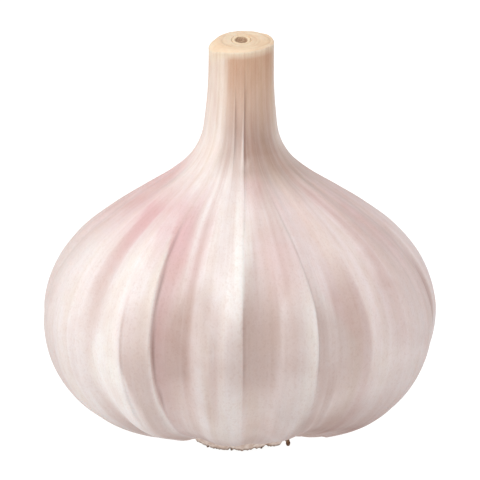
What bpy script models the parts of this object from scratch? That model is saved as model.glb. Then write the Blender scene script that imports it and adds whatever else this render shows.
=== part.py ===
"""Garlic bulb with a cut neck, standing on its trimmed root plate.

Three solids, in metres with +Z up and the front towards -Y:
  bulb          the cloves in their wrapper skin, with the neck of leaf sheaths cut across the top
  flower_stalk  the dried hollow stalk that shows in the middle of the cut neck
  root_plate    the woody plate under the cloves, with its trimmed root stubs
The origin is the middle of the flat spot that the bulb stands on.
"""

import math

import bmesh
import bpy
import numpy as np
from mathutils import Vector

MM = 0.001

# Driving dimensions
BULB_WIDTH = 61.2 * MM  # over the backs of the cloves, before the skin dips between them
BULB_HEIGHT = 62.6 * MM
NECK_RADIUS = 4.98 * MM
STALK_RADIUS = 1.45 * MM
PLATE_RADIUS = 5.7 * MM
CUT_SLOPE = 0.163  # the neck was cut on a slant, its front edge lower than its back edge
NECK_LEAN = 0.2 * MM  # how far the neck's top stands to the right of the bulb's middle
GAP = 0.3 * MM  # between two pieces that meet

COLUMNS = 108  # faces round the bulb
SKIN_ROWS = 31  # rings of points from the neck's rim down to the root plate

# The skin's outline over the backs of the cloves, from the neck down to the plate:
# radius as a share of half the width, height as a share of the height.
OUTLINE = (
    (0.163, 0.952),
    (0.165, 0.895),
    (0.175, 0.831),
    (0.196, 0.767),
    (0.250, 0.719),
    (0.343, 0.679),
    (0.477, 0.639),
    (0.634, 0.591),
    (0.804, 0.527),
    (0.933, 0.447),
    (1.000, 0.351),
    (0.984, 0.256),
    (0.912, 0.176),
    (0.797, 0.112),
    (0.634, 0.064),
    (0.422, 0.034),
    (0.294, 0.035),
    (0.203, 0.043),
)

# Each clove: its left and right edge in degrees from the front (+ to the right), and how far
# the skin has dropped below the clove's back at the left and at the right edge.
CLOVES = (
    (-87.0, -50.5, 1.3 * MM, 1.0 * MM),
    (-45.5, -26.5, 1.1 * MM, 0.45 * MM),
    (-15.0, 1.0, 1.3 * MM, 0.45 * MM),
    (11.5, 22.8, 1.0 * MM, 0.5 * MM),
    (40.0, 81.0, 1.1 * MM, 1.2 * MM),
    (88.5, 117.0, 1.2 * MM, 1.2 * MM),
    (127.0, 149.0, 1.3 * MM, 1.0 * MM),
    (154.0, 177.0, 1.2 * MM, 1.3 * MM),
    (187.0, 212.0, 1.3 * MM, 1.1 * MM),
    (217.0, 241.0, 1.2 * MM, 1.3 * MM),
    (250.0, 269.0, 1.2 * MM, 1.2 * MM),
)
VALLEY_SAG = 0.55 * MM  # how far the skin sinks where it spans from one clove to the next
FOLD_SOFTNESS = 1.3  # degrees over which the folds are rounded

# How far the cloves' feet stand above the outline, by degrees from the front: they are of
# unequal size, so the underside is notched between them.
FOOT_LIFT = (
    (-90.0, 0.10 * MM),
    (-62.0, 0.05 * MM),
    (-46.0, 0.65 * MM),
    (-32.0, 1.05 * MM),
    (-19.0, 0.45 * MM),
    (17.0, 0.40 * MM),
    (27.0, 1.00 * MM),
    (42.0, 1.05 * MM),
    (55.0, 0.25 * MM),
    (85.0, 0.10 * MM),
    (108.0, 0.45 * MM),
    (122.0, 0.85 * MM),
    (140.0, 0.25 * MM),
    (152.0, 0.80 * MM),
    (166.0, 0.20 * MM),
    (182.0, 0.75 * MM),
    (199.0, 0.15 * MM),
    (214.0, 0.80 * MM),
    (229.0, 0.30 * MM),
    (246.0, 0.85 * MM),
    (258.0, 0.20 * MM),
)

# Free edges of leaf sheaths: height of the step, degrees over which the skin rises again to
# the right of it, and the edge's path as heights with their degrees from the front.
SHEATH_EDGES = (
    (0.55 * MM, 16.0, ((7.0 * MM, -24.5), (19.0 * MM, -26.0), (30.0 * MM, -26.8), (39.0 * MM, -28.6))),
    (0.40 * MM, 14.0, ((16.0 * MM, 0.8), (36.0 * MM, 1.2), (45.0 * MM, 4.5), (59.5 * MM, 6.9))),
    (0.30 * MM, 22.0, ((8.0 * MM, 17.8), (15.0 * MM, 22.2), (27.0 * MM, 23.0), (41.0 * MM, 20.5))),
    (0.18 * MM, 9.0, ((6.0 * MM, -34.5), (28.0 * MM, -35.5))),
)
EDGE_FADE = 5.0 * MM
EDGE_WIDTH = 0.6  # degrees over which the step falls
EDGE_GRIP = 5.0  # degrees within which the mesh's columns are drawn to a sheath's edge

# Fine pleats that run down the skin, as waves round the bulb
PLEAT_WAVES = range(14, 28)
PLEAT_DEPTH = 0.035 * MM
PLEAT_SEED = 4

# The cut neck and the stalk in it
RIM_ROUNDING = 0.45 * MM
SHEATH_GROOVE = 0.3 * MM  # half the width of the groove between two layers of the neck
HOLE_DEPTH = 15.0 * MM
STALK_OVAL = 1.6  # the dried stalk is deeper, front to back, than it is wide
STALK_SIDES = 24
BORE_RADIUS = 0.95 * MM
BORE_DEPTH = 2.4 * MM

# The root plate and its roots
PLATE_TOP = 3.6 * MM
PLATE_FACE = 1.1 * MM  # height of the face that the roots grow from
PLATE_COLLAR_RADIUS = 5.3 * MM  # of the part that sits in the bulb's socket
PLATE_SIDES = 48
BUTTON_RADIUS = 2.7 * MM  # of the bare flat in the middle that the bulb stands on
ROOT_RINGS = ((3.75 * MM, 11), (4.65 * MM, 15), (5.35 * MM, 19))  # ring's radius, roots in it
ROOT_RADIUS = 0.42 * MM
ROOT_LEAN = 0.45 * MM  # how far a root's tip may stand further out than its foot
ROOT_DEEPEST = -0.35 * MM  # long roots reach this far down before they are trimmed
ROOT_SHORTEST = 0.5 * MM
ROOT_SEED = 11
TRIM_WIDTH = 30.0 * MM

# Single roots that curl out from under the cloves: degrees from the front, reach, thickness.
STRAY_ROOTS = (
    (76.0, 7.5 * MM, 0.30 * MM),
    (168.0, 7.9 * MM, 0.26 * MM),
    (-128.0, 7.2 * MM, 0.28 * MM),
)


def clear_scene():
    for obj in list(bpy.data.objects):
        bpy.data.objects.remove(obj)


def new_collection(name):
    collection = bpy.data.collections.new(name)
    bpy.context.scene.collection.children.link(collection)
    return collection


def material(name, colour, roughness):
    made = bpy.data.materials.new(name)
    made.use_nodes = True
    shader = made.node_tree.nodes["Principled BSDF"]
    shader.inputs["Base Color"].default_value = (*colour, 1.0)
    shader.inputs["Roughness"].default_value = roughness
    shader.inputs["Metallic"].default_value = 0.0
    return made


def ramp(x, start, end):
    """Rises smoothly from 0 at start to 1 at end."""
    t = np.clip((x - start) / (end - start), 0.0, 1.0)
    return t * t * (3.0 - 2.0 * t)


def wrapped(degrees):
    """The same angle, from -180 up to 180 degrees."""
    return (degrees + 180.0) % 360.0 - 180.0


def smooth_line(points, count):
    """count points, evenly spaced, on a centripetal spline through the given points."""
    ends = np.vstack([2 * points[0] - points[1], points, 2 * points[-1] - points[-2]])
    t = np.linspace(0.0, 1.0, 24, endpoint=False)[:, None]
    spans = []
    for a, b, c, d in zip(ends, ends[1:], ends[2:], ends[3:]):
        first, middle, last = (math.sqrt(math.dist(*pair)) for pair in ((a, b), (b, c), (c, d)))
        leave = middle * ((b - a) / first - (c - a) / (first + middle) + (c - b) / middle)
        arrive = middle * ((c - b) / middle - (d - b) / (middle + last) + (d - c) / last)
        spans.append(
            (2 * t**3 - 3 * t**2 + 1) * b
            + (t**3 - 2 * t**2 + t) * leave
            + (3 * t**2 - 2 * t**3) * c
            + (t**3 - t**2) * arrive
        )
    line = np.vstack([*spans, points[-1:]])
    along = np.concatenate([[0.0], np.cumsum(np.linalg.norm(np.diff(line, axis=0), axis=1))])
    wanted = np.linspace(0.0, along[-1], count)
    return np.stack([np.interp(wanted, along, line[:, i]) for i in (0, 1)], axis=1)


def skin_outline():
    """The outline as radius and height, from under the neck's rim down to the plate."""
    points = np.array(OUTLINE) * (BULB_WIDTH / 2, BULB_HEIGHT)
    rim_end = np.array([[NECK_RADIUS, BULB_HEIGHT - RIM_ROUNDING]])
    return smooth_line(np.vstack([rim_end, points]), SKIN_ROWS)


def outward(line):
    """Unit normals of an outline that runs down the outside."""
    along = np.gradient(line, axis=0)
    along /= np.linalg.norm(along, axis=1, keepdims=True)
    return np.stack([-along[:, 1], along[:, 0]], axis=1)


def softened(depth, step):
    """A closed curve round the bulb, given every step degrees, with its folds rounded."""
    reach = round(4 * FOLD_SOFTNESS / step)
    away = np.arange(-reach, reach + 1) * step / FOLD_SOFTNESS
    weights = np.exp(-0.5 * away**2)
    padded = np.concatenate([depth[-reach:], depth, depth[:reach]])
    return np.convolve(padded, weights / weights.sum(), "valid")


def valley_depth(degrees):
    """Depth of the skin below the cloves' backs: a parabola over each clove, and from its
    edge to the next clove's edge a straight span that sags."""
    step = 0.25
    fine = np.arange(-180.0, 180.0, step)
    depth = np.zeros_like(fine)
    for k, (left, right, drop_left, drop_right) in enumerate(CLOVES):
        next_left, _, next_drop, _ = CLOVES[(k + 1) % len(CLOVES)]
        across = wrapped(fine - (left + right) / 2) / ((right - left) / 2)
        on_clove = np.abs(across) <= 1.0
        depth[on_clove] = (np.where(across < 0, drop_left, drop_right) * across**2)[on_clove]
        span = ((fine - right) % 360.0) / ((next_left - right) % 360.0)
        between = (span > 0) & (span < 1)
        sunk = drop_right * (1 - span) + next_drop * span + VALLEY_SAG * 4 * span * (1 - span)
        depth[between] = sunk[between]
    return np.interp(degrees, fine, softened(depth, step), period=360.0)


def valley_strength(radius, height):
    """How much of a valley's depth shows: all at the widest part, little at the neck's foot
    and under the cloves, and none at the plate."""
    upper = 1.0 - 0.9 * ramp(height, 28.0 * MM, 43.5 * MM)
    under = 0.25 + 0.75 * ramp(radius, 14.0 * MM, 27.0 * MM)
    return np.where(height < 20.0 * MM, under, upper) * ramp(radius, 6.3 * MM, 11.0 * MM)


def foot_lift(degrees, radius, height):
    """Depth that raises the underside where the cloves' feet end higher."""
    angles, lifts = np.array(FOOT_LIFT).T
    lift = np.interp(degrees, angles, lifts, period=360.0)
    window = ramp(radius, 7.0 * MM, 10.5 * MM) * (1 - ramp(radius, 17.0 * MM, 25.0 * MM))
    return np.where(height < 15.0 * MM, lift * window, 0.0)


def edge_angle(path, height):
    """Where a sheath's edge runs at this height, in degrees."""
    heights, angles = np.array(path).T
    return np.interp(height, heights, angles)


def drawn_columns(degrees, height):
    """Moves the columns that are near a sheath's edge closer to it."""
    for _, _, path in SHEATH_EDGES:
        away = wrapped(degrees - edge_angle(path, height))
        closer = np.sign(away) * away**2 / EDGE_GRIP
        degrees = np.where(np.abs(away) < EDGE_GRIP, degrees - away + closer, degrees)
    return degrees


def sheath_steps(degrees, height):
    """Depth that the free edges of the sheaths add on their right-hand side."""
    depth = np.zeros_like(degrees)
    for step, decay, path in SHEATH_EDGES:
        away = wrapped(degrees - edge_angle(path, height))
        low, high = path[0][0], path[-1][0]
        window = ramp(height, low, low + EDGE_FADE) * (1 - ramp(height, high - EDGE_FADE, high))
        fall = ramp(away, -EDGE_WIDTH / 2, EDGE_WIDTH / 2)
        depth += step * window * fall * (1 - ramp(away, 0.0, decay))
    return depth


def pleats(degrees, radius, height):
    """Depth of the fine pleats: waves round the bulb that swell and fade along it."""
    chance = np.random.default_rng(PLEAT_SEED)
    depth = np.zeros_like(degrees)
    for wave in PLEAT_WAVES:
        size = PLEAT_DEPTH * chance.normal() * math.sqrt(30 / wave)
        phase, pace, shift = chance.uniform((0, 50, 0), (2 * math.pi, 120, 2 * math.pi))
        swell = 0.6 + 0.4 * np.sin(pace * height + shift)
        depth += size * swell * np.cos(wave * np.radians(degrees) + phase)
    return depth * ramp(radius, 6.0 * MM, 12.0 * MM)


def leaned(points):
    """The neck's lean to the right and the slant of its cut, which fade out down the neck."""
    up_neck = ramp(points[:, 2], 42.0 * MM, 62.0 * MM)
    near_cut = ramp(points[:, 2], 52.0 * MM, 62.0 * MM)
    points[:, 0] += NECK_LEAN * up_neck
    points[:, 2] += CUT_SLOPE * points[:, 1] * near_cut
    return points


def baked(obj):
    """Replaces the object's mesh by the one that its modifiers make."""
    bpy.context.view_layer.update()
    graph = bpy.context.evaluated_depsgraph_get()
    mesh = bpy.data.meshes.new_from_object(obj.evaluated_get(graph))
    obj.modifiers.clear()
    obj.data = mesh
    return obj


def turned(name, section, sides):
    """A solid turned about Z from a section that runs down its outer side, as a mesh."""
    mesh = bpy.data.meshes.new(name)
    edges = [(i, i + 1) for i in range(len(section) - 1)]
    mesh.from_pydata([(radius, 0.0, height) for radius, height in section], edges, [])
    obj = bpy.data.objects.new(name, mesh)
    bpy.context.scene.collection.objects.link(obj)
    screw = obj.modifiers.new("turn", "SCREW")
    screw.axis = "Z"
    screw.steps = sides
    screw.render_steps = sides
    screw.use_merge_vertices = True
    screw.merge_threshold = 0.00001
    return baked(obj)


def read_points(mesh):
    points = np.empty(len(mesh.vertices) * 3, np.float32)
    mesh.vertices.foreach_get("co", points)
    return points.reshape(-1, 3).astype(float)


def write_points(mesh, points):
    mesh.vertices.foreach_set("co", points.astype(np.float32).ravel())
    mesh.update()


def place(obj, collection, look, sharp_degrees=40.0):
    for owner in list(obj.users_collection):
        owner.objects.unlink(obj)
    collection.objects.link(obj)
    obj.data.materials.clear()
    obj.data.materials.append(look)
    obj.data.shade_smooth()
    obj.data.set_sharp_from_angle(angle=math.radians(sharp_degrees))


def bulb_section(skin):
    """Half of the bulb's section: up the stalk's hole, over the cut neck with a shallow
    groove between two sheaths, down the skin, and into the root plate's socket."""
    hole = STALK_RADIUS + GAP
    socket = PLATE_COLLAR_RADIUS + GAP
    groove = hole + 0.6 * (NECK_RADIUS - hole)
    rim = []
    for turn in (0.0, math.pi / 6, math.pi / 3):
        inset = RIM_ROUNDING * (1 - math.sin(turn))
        drop = RIM_ROUNDING * (1 - math.cos(turn))
        rim.append((NECK_RADIUS - inset, BULB_HEIGHT - drop))
    return [
        (0.0, BULB_HEIGHT - HOLE_DEPTH),
        (hole, BULB_HEIGHT - HOLE_DEPTH),
        (hole, BULB_HEIGHT),
        (groove - SHEATH_GROOVE, BULB_HEIGHT),
        (groove, BULB_HEIGHT - SHEATH_GROOVE),
        (groove + SHEATH_GROOVE, BULB_HEIGHT),
        *rim,
        *skin.tolist(),
        (socket, skin[-1, 1] + 0.1 * MM),
        (socket, PLATE_TOP + GAP),
        (0.0, PLATE_TOP + GAP),
    ]


def make_bulb():
    """Turns the section, then sinks its skin along the outline's normals into the valleys."""
    skin = skin_outline()
    obj = turned("bulb", bulb_section(skin), COLUMNS)
    points = read_points(obj.data)
    radius = np.hypot(points[:, 0], points[:, 1])
    height = points[:, 2]
    degrees = np.degrees(np.arctan2(points[:, 0], -points[:, 1]))

    measured = np.stack([radius, height], axis=1)
    distance = np.linalg.norm(measured[:, None, :] - skin[None, :, :], axis=2)
    normal = outward(skin)[distance.argmin(axis=1)]
    on_skin = distance.min(axis=1) < 0.01 * MM

    degrees = np.where(on_skin, drawn_columns(degrees, height), degrees)
    depth = valley_strength(radius, height) * valley_depth(degrees)
    depth += foot_lift(degrees, radius, height)
    depth += sheath_steps(degrees, height)
    depth += pleats(degrees, radius, height)
    depth = np.where(on_skin, depth, 0.0)
    radius = radius - normal[:, 0] * depth
    height = height - normal[:, 1] * depth

    turn = np.radians(degrees)
    in_hole = (radius < STALK_RADIUS + 1.5 * GAP) & (height > BULB_HEIGHT / 2)
    oval = np.where(in_hole, STALK_OVAL, 1.0)
    sunk = np.stack([radius * np.sin(turn), -radius * np.cos(turn) * oval, height], axis=1)
    write_points(obj.data, leaned(sunk))
    return obj


def make_flower_stalk():
    """The stalk stands in the neck's hole. Its pith has dried out to a short bore."""
    section = [
        (0.0, BULB_HEIGHT - BORE_DEPTH),
        (0.7 * BORE_RADIUS, BULB_HEIGHT - BORE_DEPTH),
        (BORE_RADIUS, BULB_HEIGHT - 0.3 * MM),
        (BORE_RADIUS + 0.15 * MM, BULB_HEIGHT),
        (STALK_RADIUS, BULB_HEIGHT),
        (STALK_RADIUS, BULB_HEIGHT - HOLE_DEPTH + GAP),
        (0.0, BULB_HEIGHT - HOLE_DEPTH + GAP),
    ]
    obj = turned("flower_stalk", section, STALK_SIDES)
    points = read_points(obj.data)
    points[:, 1] *= STALK_OVAL
    write_points(obj.data, leaned(points))
    return obj


def at_angle(degrees, radius, height):
    turn = math.radians(degrees)
    return Vector((radius * math.sin(turn), -radius * math.cos(turn), height))


def weld_caps(mesh):
    work = bmesh.new()
    work.from_mesh(mesh)
    bmesh.ops.remove_doubles(work, verts=work.verts, dist=0.00001)
    bmesh.ops.recalc_face_normals(work, faces=work.faces)
    work.to_mesh(mesh)
    work.free()


def make_root(name, path, thickness, collection):
    """A root along a path of points, tapering to two thirds, as a closed mesh."""
    curve = bpy.data.curves.new(name, "CURVE")
    curve.dimensions = "3D"
    curve.bevel_depth = thickness
    curve.bevel_resolution = 1
    curve.use_fill_caps = True
    spline = curve.splines.new("POLY")
    spline.points.add(len(path) - 1)
    for point, spot, share in zip(spline.points, path, np.linspace(1.0, 0.67, len(path))):
        point.co = (*spot, 1.0)
        point.radius = share
    guide = bpy.data.objects.new(name, curve)
    collection.objects.link(guide)
    bpy.context.view_layer.update()
    graph = bpy.context.evaluated_depsgraph_get()
    mesh = bpy.data.meshes.new_from_object(guide.evaluated_get(graph))
    bpy.data.objects.remove(guide)
    weld_caps(mesh)
    collection.objects.link(bpy.data.objects.new(name, mesh))


def grow_roots(collection):
    """Rings of roots under the plate, and the few that curl out from under the cloves."""
    chance = np.random.default_rng(ROOT_SEED)
    for ring, (radius, count) in enumerate(ROOT_RINGS):
        for k in range(count):
            degrees = 360.0 * (k + chance.uniform(-0.25, 0.25)) / count + 13.0 * ring
            start = radius + chance.uniform(-0.1, 0.1) * MM
            lean = ROOT_LEAN * chance.uniform(0.1, 1.0)
            swing = chance.uniform(-4.0, 4.0)
            tip = ROOT_DEEPEST if chance.uniform() < 0.6 else ROOT_SHORTEST * chance.uniform()
            path = (
                at_angle(degrees, start - 0.2 * MM, PLATE_FACE + 0.6 * MM),
                at_angle(degrees + swing / 2, start + lean / 3, PLATE_FACE / 2),
                at_angle(degrees + swing, start + lean, tip),
            )
            thickness = ROOT_RADIUS * chance.uniform(0.8, 1.1)
            make_root(f"root_{ring}_{k}", path, thickness, collection)
    for k, (degrees, reach, thickness) in enumerate(STRAY_ROOTS):
        path = (
            at_angle(degrees, PLATE_RADIUS - 1.2 * MM, 1.35 * MM),
            at_angle(degrees, PLATE_RADIUS + 0.35 * (reach - PLATE_RADIUS), 1.6 * MM),
            at_angle(degrees + 1.0, reach - 0.25 * MM, 1.35 * MM),
            at_angle(degrees + 2.0, reach, 0.7 * MM),
            at_angle(degrees + 2.0, reach, ROOT_DEEPEST),
        )
        make_root(f"stray_root_{k}", path, thickness, collection)


def make_root_plate():
    """A turned plate with a bare button in the middle. The roots are fused to it, and one
    flat cut at the height of the surface it stands on trims them all."""
    section = [
        (0.0, PLATE_TOP),
        (PLATE_COLLAR_RADIUS - GAP, PLATE_TOP),
        (PLATE_COLLAR_RADIUS, PLATE_TOP - GAP),
        (PLATE_COLLAR_RADIUS, PLATE_FACE + 1.3 * MM),
        (PLATE_RADIUS, PLATE_FACE + 1.0 * MM),
        (PLATE_RADIUS, PLATE_FACE + 0.4 * MM),
        (PLATE_RADIUS - 0.5 * MM, PLATE_FACE),
        (BUTTON_RADIUS + 0.6 * MM, PLATE_FACE - 0.1 * MM),
        (BUTTON_RADIUS, PLATE_FACE - 0.6 * MM),
        (BUTTON_RADIUS - 0.1 * MM, 2 * ROOT_DEEPEST),
        (0.0, 2 * ROOT_DEEPEST),
    ]
    obj = turned("root_plate", section, PLATE_SIDES)

    roots = new_collection("roots")
    grow_roots(roots)
    bpy.ops.mesh.primitive_cube_add(size=TRIM_WIDTH, location=(0.0, 0.0, -TRIM_WIDTH / 2))
    trim = bpy.context.object

    join = obj.modifiers.new("join_roots", "BOOLEAN")
    join.operation = "UNION"
    join.operand_type = "COLLECTION"
    join.collection = roots
    join.solver = "EXACT"
    cut = obj.modifiers.new("trim_roots", "BOOLEAN")
    cut.operation = "DIFFERENCE"
    cut.object = trim
    cut.solver = "EXACT"
    baked(obj)
    for helper in [trim, *roots.objects]:
        bpy.data.objects.remove(helper)
    bpy.data.collections.remove(roots)
    return obj


def main():
    clear_scene()
    pieces = new_collection("garlic_bulb")
    papery_skin = material("papery_skin", (0.86, 0.76, 0.71), 0.5)
    dry_stalk = material("dry_stalk", (0.70, 0.56, 0.40), 0.8)
    corky_root = material("corky_root", (0.33, 0.23, 0.14), 0.9)
    place(make_bulb(), pieces, papery_skin)
    place(make_flower_stalk(), pieces, dry_stalk)
    place(make_root_plate(), pieces, corky_root)


main()
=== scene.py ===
# %% [markdown]
# # A cured garlic bulb
#
# The frame holds three solids: the bulb, the dried flower stalk in its cut neck, and the root
# plate that it stands on. Here each of them gets its finished surface. A bulb of garlic is
# wrapped in the dry bases of its leaves, the sheaths. They are thin as paper, stretch from
# clove to clove, and carry fine veins that all run from the roots up to the neck.

# %% Load the frame
import math

import bpy
import numpy as np
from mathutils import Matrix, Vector


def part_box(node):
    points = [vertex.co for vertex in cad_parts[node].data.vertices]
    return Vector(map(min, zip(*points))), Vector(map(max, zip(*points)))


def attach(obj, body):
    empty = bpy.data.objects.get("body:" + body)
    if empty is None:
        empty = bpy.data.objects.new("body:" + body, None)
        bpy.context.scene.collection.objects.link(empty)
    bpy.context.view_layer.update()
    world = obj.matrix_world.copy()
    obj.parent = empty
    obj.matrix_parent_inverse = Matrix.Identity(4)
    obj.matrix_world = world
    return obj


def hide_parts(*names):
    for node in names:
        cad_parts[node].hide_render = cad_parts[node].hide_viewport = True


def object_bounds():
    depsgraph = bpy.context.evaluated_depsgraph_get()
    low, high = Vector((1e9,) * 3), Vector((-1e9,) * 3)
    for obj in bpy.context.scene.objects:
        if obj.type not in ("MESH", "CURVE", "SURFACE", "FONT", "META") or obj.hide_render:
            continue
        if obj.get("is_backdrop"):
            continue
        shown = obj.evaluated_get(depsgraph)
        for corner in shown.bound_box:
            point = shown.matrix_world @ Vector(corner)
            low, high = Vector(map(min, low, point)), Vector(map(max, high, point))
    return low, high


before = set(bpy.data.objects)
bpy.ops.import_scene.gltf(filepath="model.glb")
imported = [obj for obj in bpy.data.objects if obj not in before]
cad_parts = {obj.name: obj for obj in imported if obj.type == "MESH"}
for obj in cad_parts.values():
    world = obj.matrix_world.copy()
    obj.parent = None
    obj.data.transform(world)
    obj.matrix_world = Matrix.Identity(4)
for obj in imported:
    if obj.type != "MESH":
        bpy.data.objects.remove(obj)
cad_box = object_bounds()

MM = 0.001
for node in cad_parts:
    low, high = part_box(node)
    print(node, "stands from", round(low[2] / MM, 1), "to", round(high[2] / MM, 1), "mm")

# %% [markdown]
# ## The outline
#
# A bulb is close to a turned shape, so it starts from half of its outline, the line that runs
# over the backs of the cloves from the neck's rim down to the root plate. It could be drawn as
# a curve and spun. Here a spline through a few points is read off at even steps, because even
# rows light evenly and every later bump can be worked out for the whole grid at once.

# %% Outline of the skin
BULB_WIDTH = 61.2 * MM
BULB_HEIGHT = 62.6 * MM
NECK_RADIUS = 4.98 * MM
RIM_ROUNDING = 0.45 * MM
SKIN_ROWS = 190
OUTLINE = (
    (0.163, 0.952),
    (0.165, 0.895),
    (0.175, 0.831),
    (0.196, 0.767),
    (0.250, 0.719),
    (0.343, 0.679),
    (0.477, 0.639),
    (0.634, 0.591),
    (0.804, 0.527),
    (0.933, 0.447),
    (1.000, 0.351),
    (0.984, 0.256),
    (0.912, 0.176),
    (0.797, 0.112),
    (0.634, 0.064),
    (0.422, 0.034),
    (0.294, 0.035),
    (0.203, 0.043),
)  # radius and height, as shares of half the width and of the height


def smooth_line(points, count):
    """A centripetal spline through the points, read off at count evenly spaced places. Each
    span is a cubic whose end slopes come from its neighbours, weighted by the square roots of
    the distances, so it can't loop or overshoot."""
    ends = np.vstack([2 * points[0] - points[1], points, 2 * points[-1] - points[-2]])
    t = np.linspace(0.0, 1.0, 24, endpoint=False)[:, None]
    spans = []
    for a, b, c, d in zip(ends, ends[1:], ends[2:], ends[3:]):
        first, middle, last = (math.sqrt(math.dist(*pair)) for pair in ((a, b), (b, c), (c, d)))
        leave = middle * ((b - a) / first - (c - a) / (first + middle) + (c - b) / middle)
        arrive = middle * ((c - b) / middle - (d - b) / (middle + last) + (d - c) / last)
        spans.append(
            (2 * t**3 - 3 * t**2 + 1) * b
            + (t**3 - 2 * t**2 + t) * leave
            + (3 * t**2 - 2 * t**3) * c
            + (t**3 - t**2) * arrive
        )
    line = np.vstack([*spans, points[-1:]])
    along = np.concatenate([[0.0], np.cumsum(np.linalg.norm(np.diff(line, axis=0), axis=1))])
    wanted = np.linspace(0.0, along[-1], count)
    return np.stack([np.interp(wanted, along, line[:, i]) for i in (0, 1)], axis=1)


rim_end = np.array([[NECK_RADIUS, BULB_HEIGHT - RIM_ROUNDING]])
shoulder_points = np.array(OUTLINE) * (BULB_WIDTH / 2, BULB_HEIGHT)
skin_line = smooth_line(np.vstack([rim_end, shoulder_points]), SKIN_ROWS)
down_skin = np.gradient(skin_line, axis=0)
row_step = np.linalg.norm(down_skin, axis=1, keepdims=True)
skin_normal = np.stack([-down_skin[:, 1], down_skin[:, 0]], axis=1) / row_step
print("rows on the skin are", round(float(row_step.mean()) / MM, 2), "mm apart")

# %% [markdown]
# ## Lobes and valleys
#
# Under the skin lie the cloves. Over each clove the skin is a little rounded, and between two
# cloves it spans the gap and sags. All of that is a depth below the outline, as a function of
# the angle round the bulb and the height. Angles are in degrees from the front, and they grow
# towards the right.

# %% Depth of the valleys between the cloves
CLOVES = (
    (-87.0, -50.5, 1.3 * MM, 1.0 * MM),
    (-45.5, -26.5, 1.1 * MM, 0.45 * MM),
    (-15.0, 1.0, 1.3 * MM, 0.45 * MM),
    (11.5, 22.8, 1.0 * MM, 0.5 * MM),
    (40.0, 81.0, 1.1 * MM, 1.2 * MM),
    (88.5, 117.0, 1.2 * MM, 1.2 * MM),
    (127.0, 149.0, 1.3 * MM, 1.0 * MM),
    (154.0, 177.0, 1.2 * MM, 1.3 * MM),
    (187.0, 212.0, 1.3 * MM, 1.1 * MM),
    (217.0, 241.0, 1.2 * MM, 1.3 * MM),
    (250.0, 269.0, 1.2 * MM, 1.2 * MM),
)  # left edge, right edge, drop of the skin at each edge
VALLEY_SAG = 0.55 * MM
FOLD_SOFTNESS = 1.9  # degrees
WIDEST_HEIGHT = 20.0 * MM
UPPER_FADE = (28.0 * MM, 43.5 * MM)  # heights between which the valleys fade
UPPER_LOSS = 0.9
UNDER_FADE = (14.0 * MM, 27.0 * MM)  # radii between which they grow under the cloves
UNDER_SHARE = 0.25
PLATE_FADE = (6.3 * MM, 11.0 * MM)  # radii between which they start at the plate


def ramp(x, start, end):
    """Rises smoothly from 0 at start to 1 at end."""
    t = np.clip((x - start) / (end - start), 0.0, 1.0)
    return t * t * (3.0 - 2.0 * t)


def wrapped(degrees):
    """The same angle, from -180 up to 180 degrees."""
    return (degrees + 180.0) % 360.0 - 180.0


def valley_depth(degrees):
    """A parabola over each clove, and from its edge to the next clove's edge a straight span
    with a parabolic sag; then a Gaussian blur round the bulb softens the folds."""
    step = 0.25
    fine = np.arange(-180.0, 180.0, step)
    depth = np.zeros_like(fine)
    for k, (left, right, drop_left, drop_right) in enumerate(CLOVES):
        next_left, _, next_drop, _ = CLOVES[(k + 1) % len(CLOVES)]
        across = wrapped(fine - (left + right) / 2) / ((right - left) / 2)
        on_clove = np.abs(across) <= 1.0
        depth[on_clove] = (np.where(across < 0, drop_left, drop_right) * across**2)[on_clove]
        span = ((fine - right) % 360.0) / ((next_left - right) % 360.0)
        between = (span > 0) & (span < 1)
        sunk = drop_right * (1 - span) + next_drop * span + VALLEY_SAG * 4 * span * (1 - span)
        depth[between] = sunk[between]
    reach = round(4 * FOLD_SOFTNESS / step)
    weights = np.exp(-0.5 * (np.arange(-reach, reach + 1) * step / FOLD_SOFTNESS) ** 2)
    padded = np.concatenate([depth[-reach:], depth, depth[:reach]])
    soft = np.convolve(padded, weights / weights.sum(), "valid")
    return np.interp(degrees, fine, soft, period=360.0)


def valley_strength(radius, height):
    """How much of a valley's depth shows: all at the widest part, little at the neck's foot
    and under the cloves, and none at the plate."""
    upper = 1.0 - UPPER_LOSS * ramp(height, *UPPER_FADE)
    under = UNDER_SHARE + (1.0 - UNDER_SHARE) * ramp(radius, *UNDER_FADE)
    return np.where(height < WIDEST_HEIGHT, under, upper) * ramp(radius, *PLATE_FADE)


print(len(CLOVES), "cloves show, the narrowest", min(c[1] - c[0] for c in CLOVES), "degrees wide")

# %% [markdown]
# The cloves are of unequal size, so their feet end at unequal heights and the underside is
# notched between them. That is a lift that depends on the angle alone, faded in near the root
# plate and out again where the sides begin.

# %% Lift of the cloves' feet
FOOT_LIFT = (
    (-90.0, 0.10), (-62.0, 0.05), (-46.0, 0.40), (-34.0, 0.95), (-24.0, 1.05), (-14.0, 0.60),
    (8.0, 0.50), (18.0, 1.05), (27.0, 1.15), (42.0, 0.85), (55.0, 0.25), (85.0, 0.10),
    (108.0, 0.45), (122.0, 0.85), (140.0, 0.25), (152.0, 0.80), (166.0, 0.20), (182.0, 0.75),
    (199.0, 0.15), (214.0, 0.80), (229.0, 0.30), (246.0, 0.85), (258.0, 0.20),
)  # degrees from the front, and lift in mm
FEET_START = (7.0 * MM, 10.5 * MM)
FEET_END = (17.0 * MM, 25.0 * MM)
FEET_TOP = 15.0 * MM


def foot_lift(degrees, radius, height):
    """Straight lines between the listed angles, times a window over the radius."""
    angles, lifts = np.array(FOOT_LIFT).T
    lift = np.interp(degrees, angles, lifts * MM, period=360.0)
    window = ramp(radius, *FEET_START) * (1 - ramp(radius, *FEET_END))
    return np.where(height < FEET_TOP, lift * window, 0.0)


print("the feet end up to", max(lift for _, lift in FOOT_LIFT), "mm higher")

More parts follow.
